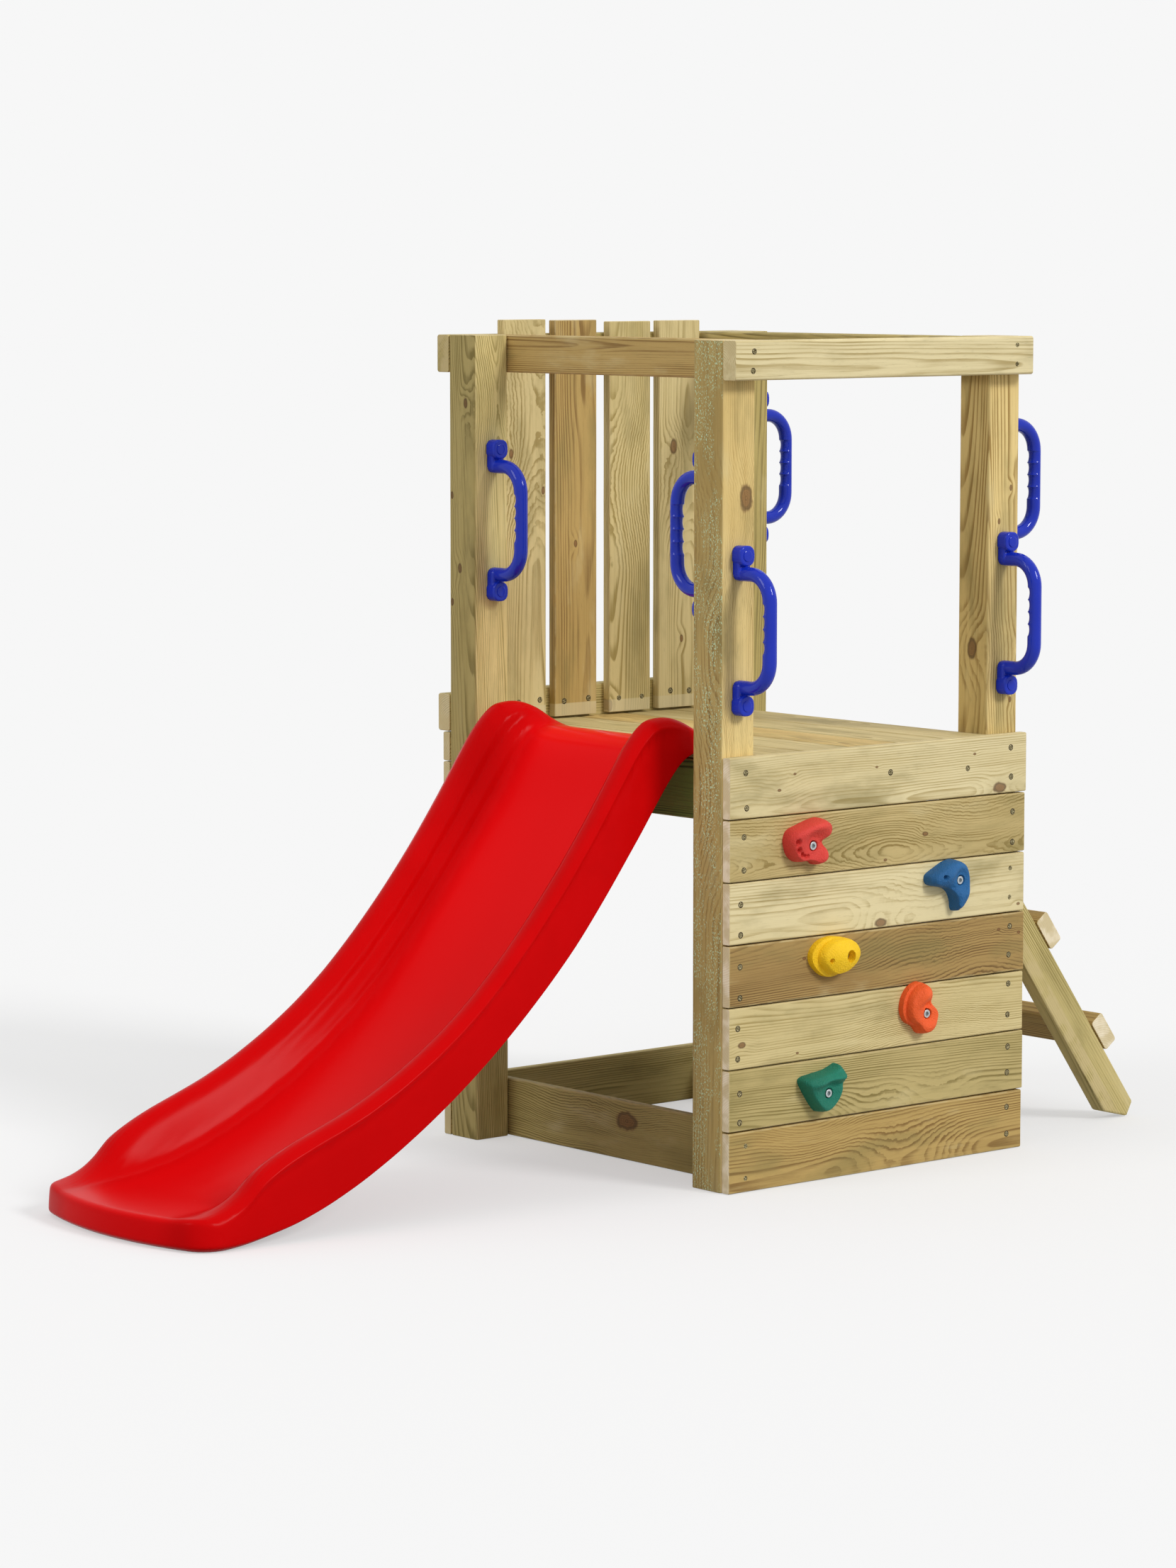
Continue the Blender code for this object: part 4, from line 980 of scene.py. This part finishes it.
def bolt_mesh():
    """A socket bolt's head, its underside at x = 0."""
    part = 0.3 * BOLT_EDGE
    head = lathe(((0.0, BOLT_R), (BOLT_H - BOLT_EDGE, BOLT_R), (BOLT_H - part, BOLT_R - part),
                  (BOLT_H, BOLT_R - BOLT_EDGE)), BOLT_SIDES)
    for x, radius in ((BOLT_H, SOCKET_R + 0.3), (BOLT_H - 0.3, SOCKET_R), (BOLT_H - SOCKET_DEPTH, SOCKET_R)):
        ring = []
        for k in range(BOLT_SIDES):
            a = 2 * math.pi * k / BOLT_SIDES
            r = radius * math.cos(math.pi / 6) / math.cos(a % (math.pi / 3) - math.pi / 6)
            ring.append((x, r * math.cos(a), r * math.sin(a)))
        head.append(ring)
    return loft(head, 35.0)


def holds():
    wall_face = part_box("wall_board_1")[1].x
    head = bolt_mesh()
    zinc, t, shader = new_material("zinc", roughness=0.28, metallic=1.0)
    place = t.add("ShaderNodeTexCoord").outputs["Object"]
    blotch = t.noise(place, (420.0, 420.0, 420.0), 4.0, 0.6)
    t.set(shader.inputs["Base Color"], t.mix(blotch, srgb("8f9698"), srgb("dfe3e4")))
    t.set(shader.inputs["Roughness"], t.smooth(blotch, 0.3, 0.7, 0.2, 0.42))
    bump = t.add("ShaderNodeBump", {"Height": blotch, "Strength": 0.2, "Distance": 0.0003})
    t.set(shader.inputs["Normal"], bump.outputs[0])
    for name, colour, shade in (("red", "e44438", "d63a32"), ("blue", "1b66a0", "165a90"),
                                ("yellow", "ffd010", "f7c408"), ("orange", "fb6428", "ee5a20"),
                                ("green", "0a7b64", "086c56")):
        board, y, lift, bolt, reach, outline, lumps, pits, flange, dish = HOLDS[name]
        low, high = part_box(f"wall_board_{board}")
        matrix = Matrix.Translation((wall_face, MIDDLE.y + y * MM, (low.z + high.z) / 2 + lift * MM))
        material = plastic(f"hold_{name}", colour, shade, roughness=0.5, specular=0.35, grain=420.0,
                           bump_strength=1.0, depth=2.0)
        mesh = hold_mesh(reach, bolt, outline, lumps, pits, flange, dish)
        show(f"grip_{name}", mesh, matrix, material, f"hold_{name}", f"hold_{name}")
        low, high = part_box(f"bolt_{name}")
        centre = (low + high) / 2
        centre.x = high.x - BOLT_H * MM
        show(f"bolt_head_{name}", head, Matrix.Translation(centre), zinc, "zinc_steel", f"bolt_{name}")


# Screws, as (y, z)
WALL_SCREWS_FRONT = ((-271, 621), (-269, 569), (-274, 527), (-274, 478), (-280, 428), (-280, 383),
                     (-281, 336), (-281, 290), (-285, 245), (-285, 200), (-281, 148), (-281, 105),
                     (-269, 69), (-269, 21))
WALL_SCREWS_BACK = ((275, 623), (276, 578), (280, 524), (280, 477), (276, 437), (275, 392), (276, 347),
                    (274, 303), (274, 258), (273, 210), (274, 160), (273, 120), (273, 66), (273, 24))
WALL_SCREWS_MIDDLE = ((21, 602), (183, 597))
RAIL_SCREWS = ((-268, 1234), (-270, 1206), (269, 1237), (269, 1208))
SLAT_SCREWS = ((-135, 676), (-85, 671), (-35, 673), (29, 670), (77, 670), (138, 675), (178, 673),
               (-178, 674))


def screw_meshes(rng):
    """A dimple, dark with stain and painted shade, and a countersunk head with a star recess, flat on x = 0.
    """
    sides = 4 * SCREW_POINTS
    dimple = loft(lathe(((0.0, SCREW_DIMPLE_R), (SCREW_DIMPLE_UP, SCREW_DIMPLE_R - 0.5)), sides))
    head = lathe(((0.0, SCREW_R + 0.1), (0.6 * SCREW_UP, SCREW_R), (SCREW_UP, SCREW_R - 0.5)), sides)
    turn = rng.uniform(0, 1)
    for x, scale in ((SCREW_UP, 1.15), (SCREW_UP - 0.1, 1.0), (0.1, 0.9)):
        ring = []
        for k in range(sides):
            a = 2 * math.pi * (k + turn) / sides
            r = scale * SCREW_RECESS_R * (1 + SCREW_STAR * math.cos(2 * math.pi * k / 4))
            ring.append((x, r * math.cos(a), r * math.sin(a)))
        head.append(ring)
    return dimple, loft(head, 35.0)


def screws():
    """Screw heads, one piece for each face that they are driven into."""
    rng = random.Random("screws")
    brass, t, shader = new_material("screw", roughness=0.38, metallic=1.0)
    place = t.add("ShaderNodeTexCoord").outputs["Object"]
    blotch = t.noise(place, (700.0, 700.0, 700.0), 4.0, 0.6)
    t.set(shader.inputs["Base Color"], t.mix(t.smooth(blotch, 0.45, 0.65), srgb("4a4024"), srgb("d8cca0")))
    t.set(shader.inputs["Roughness"], t.smooth(blotch, 0.3, 0.7, 0.3, 0.5))
    # Stain and painted shade: the dimple around each head is a flat dark disc
    dark, t, shader = new_material("screw_dimple", roughness=0.8)
    place = t.add("ShaderNodeTexCoord").outputs["Object"]
    stain_and_shade = t.noise(place, (500.0, 500.0, 500.0))
    t.set(shader.inputs["Base Color"], t.mix(stain_and_shade, srgb("281f0e"), srgb("463718")))
    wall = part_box("wall_board_1")[1].x
    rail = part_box("top_rail_right")[1].x
    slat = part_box("fence_slat_1")[1].x
    for name, face, spots in (("wall_front", wall, WALL_SCREWS_FRONT), ("wall_back", wall, WALL_SCREWS_BACK),
                              ("wall_middle", wall, WALL_SCREWS_MIDDLE), ("rail", rail, RAIL_SCREWS),
                              ("slats", slat, SLAT_SCREWS)):
        meshes = []
        for y, z in spots:
            spot = (face - SCREW_IN * MM, MIDDLE.y + y * MM, z * MM)
            for metal, mesh in enumerate(screw_meshes(rng)):
                for polygon in mesh.polygons:
                    polygon.material_index = metal
                mesh.transform(Matrix.Translation(spot))
                meshes.append(mesh)
        mesh = joined(meshes)
        mesh.materials.append(dark)
        mesh.materials.append(brass)
        mesh.shade_smooth()
        show(f"screws_{name}", mesh, Matrix.Identity(4), dark, "zinc_steel")


# Stage
def seen_directly(t):
    """1 for rays from the camera, off a glossy surface or through a clear one, 0 for light on its way."""
    path = t.add("ShaderNodeLightPath").outputs
    seen = t.math("MAXIMUM", path["Is Camera Ray"], path["Is Glossy Ray"])
    return t.math("MAXIMUM", seen, path["Is Transmission Ray"])


def stage():
    """A pale floor that looks like the background and bounces less light than it shows."""
    floor_mesh = bpy.data.meshes.new("floor")
    bm = bmesh.new()
    bmesh.ops.create_grid(bm, x_segments=1, y_segments=1, size=FLOOR_SIZE)
    bm.to_mesh(floor_mesh)
    bm.free()
    floor = bpy.data.objects.new("floor", floor_mesh)
    bpy.context.scene.collection.objects.link(floor)
    floor.location = (0.0, 0.0, -FLOOR_DROP)
    material = bpy.data.materials.new("floor")
    material.use_nodes = True
    t = Tree(material.node_tree)
    material.node_tree.nodes.clear()
    seen = seen_directly(t)
    shaded = t.add("ShaderNodeBsdfDiffuse", {"Color": t.mix(seen, FLOOR_BOUNCE, FLOOR_SEEN)}).outputs[0]
    glow = t.add("ShaderNodeEmission", {"Color": srgb(BACKGROUND), "Strength": 1.0}).outputs[0]
    both = t.add("ShaderNodeMixShader", {0: t.math("MULTIPLY", seen, FLOOR_GLOW), 1: shaded, 2: glow})
    t.add("ShaderNodeOutputMaterial", {"Surface": both.outputs[0]})
    floor_mesh.materials.append(material)


def lights():
    world = bpy.data.worlds.new("studio")
    bpy.context.scene.world = world
    world.use_nodes = True
    t = Tree(world.node_tree)
    world.node_tree.nodes.clear()
    seen = seen_directly(t)
    light = t.add("ShaderNodeBackground", {"Color": srgb("ffffff"), "Strength": WORLD_LIGHT}).outputs[0]
    pale = t.add("ShaderNodeBackground", {"Color": srgb(BACKGROUND), "Strength": 1.0}).outputs[0]
    both = t.add("ShaderNodeMixShader", {0: seen, 1: light, 2: pale})
    t.add("ShaderNodeOutputWorld", {"Surface": both.outputs[0]})
    for name, towards, strength, angle in SUNS:
        lamp = bpy.data.lights.new(name, "SUN")
        lamp.energy = strength
        lamp.angle = math.radians(angle)
        ob = bpy.data.objects.new(name, lamp)
        bpy.context.scene.collection.objects.link(ob)
        ob.rotation_euler = Vector(towards).to_track_quat("Z", "Y").to_euler()


def camera():
    lens = bpy.data.cameras.new("camera")
    lens.sensor_fit = "VERTICAL"
    lens.sensor_height = SENSOR
    lens.lens = FOCAL / IMAGE_HEIGHT * SENSOR
    ob = bpy.data.objects.new("camera", lens)
    bpy.context.scene.collection.objects.link(ob)
    ob.location = at(*CAMERA_AT)
    ob.rotation_euler = (math.pi / 2 - CAMERA_DOWN, 0.0, CAMERA_YAW)
    bpy.context.scene.camera = ob
    bpy.context.scene.view_settings.view_transform = "Standard"


tower_timbers()
wall_boards()
deck_boards()
slats()
ladder()
slide()
handles()
holds()
screws()
stage()
lights()
camera()
